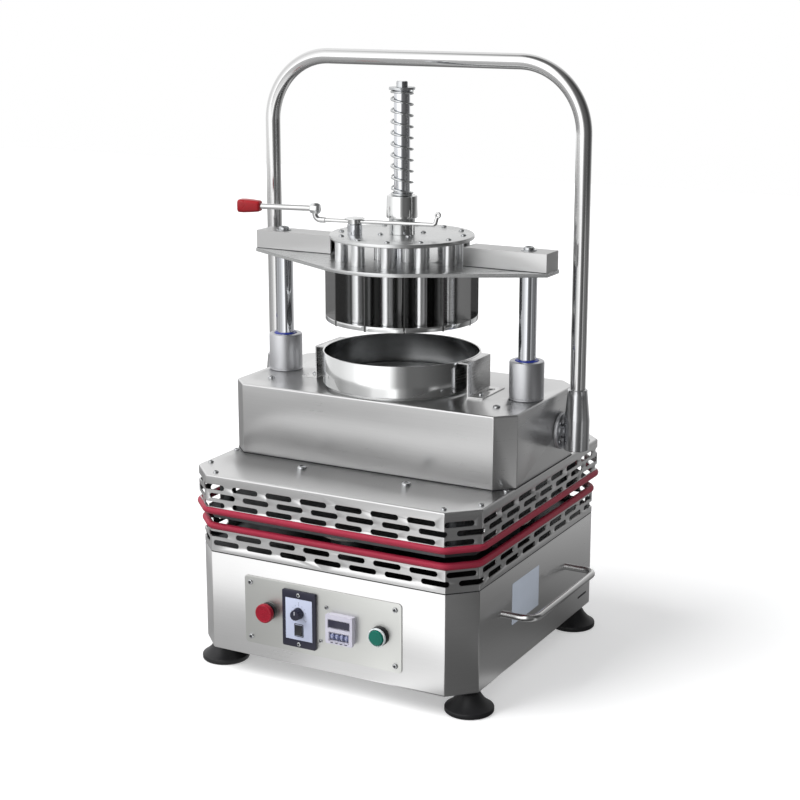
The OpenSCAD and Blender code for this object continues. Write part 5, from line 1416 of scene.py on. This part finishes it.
class DIVIDER_OT_handle(bpy.types.Operator):
    """Bends the arched press handle and turns its sockets and pivots"""
    bl_idname = "divider.handle"
    bl_label = "Press handle"

    def execute(self, context):
        low, high = mm_box("handle_tube")
        leg, bar = high.x - TUBE_RADIUS, high.z - TUBE_RADIUS
        tube = rod([(x, PIVOT_Y, z) for x, z in ((-leg, low.z), (-leg, bar), (leg, bar), (leg, low.z))],
                   TUBE_RADIUS, sizes().tube_bend / METRE, "tube", sides=64, steps=28)
        finished("press_handle", tube, "handle", "tube_steel", "handle_tube")
        low, high = mm_box("handle_sockets")
        wide, base, top = high.x - leg, low.z, high.z
        sockets = bmesh.new()
        for x in (-leg, leg):
            turned(sockets, [
                (0, base), (wide - 1, base), (wide, base + 1), (wide, base + 49), (wide - 0.3, base + 52),
                (16.4, top - 9), (15.9, top - 5), (15.9, top - 1.4), (15.2, top - 0.4), (14.4, top),
                (TUBE_RADIUS + 0.05, top), (TUBE_RADIUS + 0.05, top - 80), (0, top - 80)],
                shift(x, PIVOT_Y), 56)
        finished("tube_sockets", skin(sockets, "socket"), "handle", "socket_steel", "handle_sockets")
        wall = mm_box("press_housing")[1].x
        thick = mm_box("pivot_flanges")[1].x - wall
        flanges = bmesh.new()
        for side in (-1, 1):
            turned(flanges, [
                (12.6, 0), (29.2, 0), (FLANGE_RADIUS, 0.8), (FLANGE_RADIUS, thick - 1.4), (29.6, thick - 0.4),
                (28.6, thick), (16, thick), (14.6, thick - 0.8), (12.6, thick - 1)],
                toward((side * wall, PIVOT_Y, PIVOT_Z), (side, 0, 0)), 56, closed=True)
        finished("pivot_rings", skin(flanges, "bush"), "carriage", "satin_aluminium", "pivot_flanges")
        return {"FINISHED"}


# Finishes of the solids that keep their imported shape, most of them inside the housings
KEPT = {
    "deck_plate": "mill", "drive_motor": "motor", "drive_belt": "belt", "bearing_housing": "iron",
    "motor_pulley": "turned", "main_shaft": "turned", "drive_pulley": "iron", "idler_crank": "turned",
    "carriage_plate": "mill", "slide_pads": "nylon", "torsion_springs": "turned", "crank_shaft": "socket",
    "crossheads": "turned",
}


class DIVIDER_OT_inside(bpy.types.Operator):
    """Gives the drive and the other solids inside the housings their finishes"""
    bl_idname = "divider.inside"
    bl_label = "Drive and inside"

    def execute(self, context):
        for name, finish in KEPT.items():
            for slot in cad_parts[name].material_slots:
                slot.material = FINISHES[finish]
        return {"FINISHED"}


# Stage

# How bright the studio looks by bearing, in parts of a turn from the left side (-X) through the
# front, the right and the back: first low down, as seen in the floor, then round the walls
LOW_GLOW = (
    (0.00, 0.45), (0.06, 0.35), (0.11, 0.50), (0.158, 0.52), (0.185, 0.60), (0.20, 0.68), (0.215, 0.92),
    (0.26, 0.98), (0.30, 1.40), (0.318, 0.40), (0.35, 0.15), (0.38, 0.10), (0.43, 0.08), (0.45, 0.50),
    (0.46, 0.50), (0.48, 0.18), (0.55, 0.18), (0.60, 0.08), (0.65, 0.27), (0.69, 0.40), (0.73, 0.60),
    (0.76, 0.30), (0.78, 0.20), (0.90, 0.20), (1.00, 0.45))
WALL_GLOW = (
    (0.00, 0.92), (0.057, 0.95), (0.12, 1.20), (0.16, 1.65), (0.27, 1.65), (0.31, 0.40), (0.35, 0.15),
    (0.40, 0.15), (0.54, 0.05), (0.62, 0.12), (0.68, 0.40), (0.74, 0.70), (0.78, 0.85), (0.83, 0.95),
    (0.86, 1.05), (0.93, 1.10), (1.00, 0.92))
# How bright metal sees the floor's white sweep, and where that begins and ends, in metres
FAR_GLOW, SWEEP_START, SWEEP_END = 1.15, 1.75, 2.15
# How bright metal sees the studio straight above, and the heights between which that fades in
ZENITH_GLOW, ZENITH_START, ZENITH_END = 0.16, 0.84, 0.95
# The floor's own light and what it throws back, and the soft light on what is matt
FLOOR_LIFT, FLOOR_BOUNCE, SOFT_LIGHT = 0.37, 0.35, 0.34
WHITE = (1, 1, 1, 1)


def grey(level):
    return (level, level, level, 1)


def studio_ramp(tree, direction, stops):
    """How bright the studio looks in each direction, by its bearing, and the direction's height."""
    parts = add(tree, "ShaderNodeSeparateXYZ", {0: direction})
    bearing = add(tree, "ShaderNodeMath", {0: parts.outputs["Y"], 1: parts.outputs["X"]}, operation="ARCTAN2")
    turn = add(tree, "ShaderNodeMapRange", {
        "Value": bearing.outputs[0], "From Min": -math.pi, "From Max": math.pi, "To Min": 0.0, "To Max": 1.0})
    ramp = add(tree, "ShaderNodeValToRGB", {0: turn.outputs[0]})
    band = ramp.color_ramp
    while len(band.elements) < len(stops):
        band.elements.new(0.5)
    for element, (at, level) in zip(band.elements, stops):
        element.position = at
        element.color = grey(level)
    return ramp.outputs[0], parts.outputs["Z"]


def floor_material():
    """Matt white paper for light; metal sees the same studio in it as in the air above."""
    material = bpy.data.materials.new("studio_floor_pale")
    tree = emptied(material)
    plain = add(tree, "ShaderNodeBsdfDiffuse", {"Color": grey(0.8)})
    lift = add(tree, "ShaderNodeEmission", {"Color": WHITE, "Strength": FLOOR_LIFT})
    paper = add(tree, "ShaderNodeAddShader", {0: plain.outputs[0], 1: lift.outputs[0]})
    seen = add(tree, "ShaderNodeTexCoord").outputs["Object"]
    glow, _ = studio_ramp(tree, seen, LOW_GLOW)
    # the white sweep of the studio is nearer to the tall parts than to the cabinet
    away = add(tree, "ShaderNodeVectorMath", {0: seen}, operation="LENGTH")
    sweep = add(tree, "ShaderNodeMapRange", {
        "Value": away.outputs["Value"], "From Min": SWEEP_START, "From Max": SWEEP_END,
        "To Min": 1.0, "To Max": FAR_GLOW})
    mirror = add(tree, "ShaderNodeEmission", {"Color": glow, "Strength": sweep.outputs[0]})
    ray = add(tree, "ShaderNodeLightPath")
    dimmed = add(tree, "ShaderNodeEmission", {"Color": WHITE, "Strength": FLOOR_BOUNCE})
    bounce = add(tree, "ShaderNodeMixShader", {
        0: ray.outputs["Is Diffuse Ray"], 1: paper.outputs[0], 2: dimmed.outputs[0]})
    mix = add(tree, "ShaderNodeMixShader", {
        0: ray.outputs["Is Glossy Ray"], 1: bounce.outputs[0], 2: mirror.outputs[0]})
    add(tree, "ShaderNodeOutputMaterial", {"Surface": mix.outputs[0]})
    return material


def studio_world():
    """Soft light for what is matt, the studio's walls for what is glossy, and white for the camera."""
    world = bpy.data.worlds.new("studio")
    tree = emptied(world)
    ray = add(tree, "ShaderNodeLightPath")
    way = add(tree, "ShaderNodeTexCoord").outputs["Generated"]
    glow, height = studio_ramp(tree, way, WALL_GLOW)
    top = add(tree, "ShaderNodeMapRange", {
        "Value": height, "From Min": ZENITH_START, "From Max": ZENITH_END, "To Min": 0.0, "To Max": 1.0})
    above = add(tree, "ShaderNodeMix", {
        "Factor": top.outputs[0], 6: glow, 7: grey(ZENITH_GLOW)}, data_type="RGBA")
    studio, soft, white = (
        add(tree, "ShaderNodeBackground", {"Color": colour, "Strength": strength})
        for colour, strength in ((above.outputs[2], 1.0), ((0.97, 0.98, 1.0, 1), SOFT_LIGHT), (WHITE, 1.0)))
    shiny = add(tree, "ShaderNodeMath", {
        0: ray.outputs["Is Glossy Ray"], 1: ray.outputs["Is Transmission Ray"]}, operation="MAXIMUM")
    lit = add(tree, "ShaderNodeMixShader", {0: shiny.outputs[0], 1: soft.outputs[0], 2: studio.outputs[0]})
    back = add(tree, "ShaderNodeMixShader", {
        0: ray.outputs["Is Camera Ray"], 1: lit.outputs[0], 2: white.outputs[0]})
    add(tree, "ShaderNodeOutputWorld", {"Surface": back.outputs[0]})
    return world


class DIVIDER_OT_stage(bpy.types.Operator):
    """Sets the pale floor, the lamps, the studio's surroundings and the camera"""
    bl_idname = "divider.stage"
    bl_label = "Stage"

    def execute(self, context):
        scene = context.scene
        scene.view_settings.view_transform = "Standard"
        scene.world = studio_world()

        reach = 6.0
        floor = bpy.data.meshes.new("floor")
        floor.from_pydata([(-x * reach, -y * reach, 0) for x, y in SQUARE], [], [(0, 1, 2, 3)])
        floor.materials.append(floor_material())
        linked("floor", floor)

        # suns by where they stand, how soft they are in degrees, and their strength
        for name, way, spread, power in (
                ("key_light", (-0.62, -0.60, 1.0), 38, 2.5), ("fill_light", (0.9, -0.5, 0.9), 60, 0.5),
                ("low_light", (-0.35, -1.0, 0.15), 20, 0.7)):
            lamp = bpy.data.lights.new(name, "SUN")
            lamp.angle = math.radians(spread)
            lamp.energy = power
            stand = linked(name, lamp)
            stand.rotation_euler = Vector(way).to_track_quat("Z", "Y").to_euler()
            # the lamps light what is matt; the metal shows the studio round them instead
            stand.visible_glossy = False

        camera = bpy.data.cameras.new("camera")
        camera.sensor_width = 36
        camera.lens = 77.99
        camera.clip_end = 50
        eye = linked("camera", camera)
        eye.location = (1.3158, -2.4454, 1.1257)
        eye.rotation_euler = Euler((math.radians(90 - 14.176), 0, math.radians(28.399)))
        scene.camera = eye
        return {"FINISHED"}


# Add-on

PIECES = (
    DIVIDER_OT_cabinet, DIVIDER_OT_tray, DIVIDER_OT_trims, DIVIDER_OT_feet, DIVIDER_OT_screws,
    DIVIDER_OT_panel, DIVIDER_OT_controller, DIVIDER_OT_timer, DIVIDER_OT_side_handles,
    DIVIDER_OT_gland, DIVIDER_OT_bowl, DIVIDER_OT_guides, DIVIDER_OT_head, DIVIDER_OT_presser,
    DIVIDER_OT_spring, DIVIDER_OT_lever, DIVIDER_OT_handle, DIVIDER_OT_inside, DIVIDER_OT_stage,
)


class DIVIDER_PT_sidebar(bpy.types.Panel):
    """Lists the sizes, the colours and the pieces of the machine"""
    bl_label = "Dough divider rounder"
    bl_idname = "DIVIDER_PT_sidebar"
    bl_space_type = "VIEW_3D"
    bl_region_type = "UI"
    bl_category = "Divider"

    def draw(self, context):
        for group in (context.scene.divider_sizes, context.scene.divider_colours):
            box = self.layout.box()
            for name in group.__annotations__:
                box.prop(group, name)
        column = self.layout.column(align=True)
        for piece in PIECES:
            column.operator(piece.bl_idname)


CLASSES = (DividerSizes, DividerColours, *PIECES, DIVIDER_PT_sidebar)


def register():
    for made in CLASSES:
        bpy.utils.register_class(made)
    bpy.types.Scene.divider_sizes = PointerProperty(type=DividerSizes)
    bpy.types.Scene.divider_colours = PointerProperty(type=DividerColours)


def unregister():
    del bpy.types.Scene.divider_colours
    del bpy.types.Scene.divider_sizes
    for made in reversed(CLASSES):
        bpy.utils.unregister_class(made)


def main():
    register()
    make_finishes()
    make_trees()
    for piece in PIECES:
        group, name = piece.bl_idname.split(".")
        getattr(getattr(bpy.ops, group), name)()


if __name__ == "__main__":
    main()
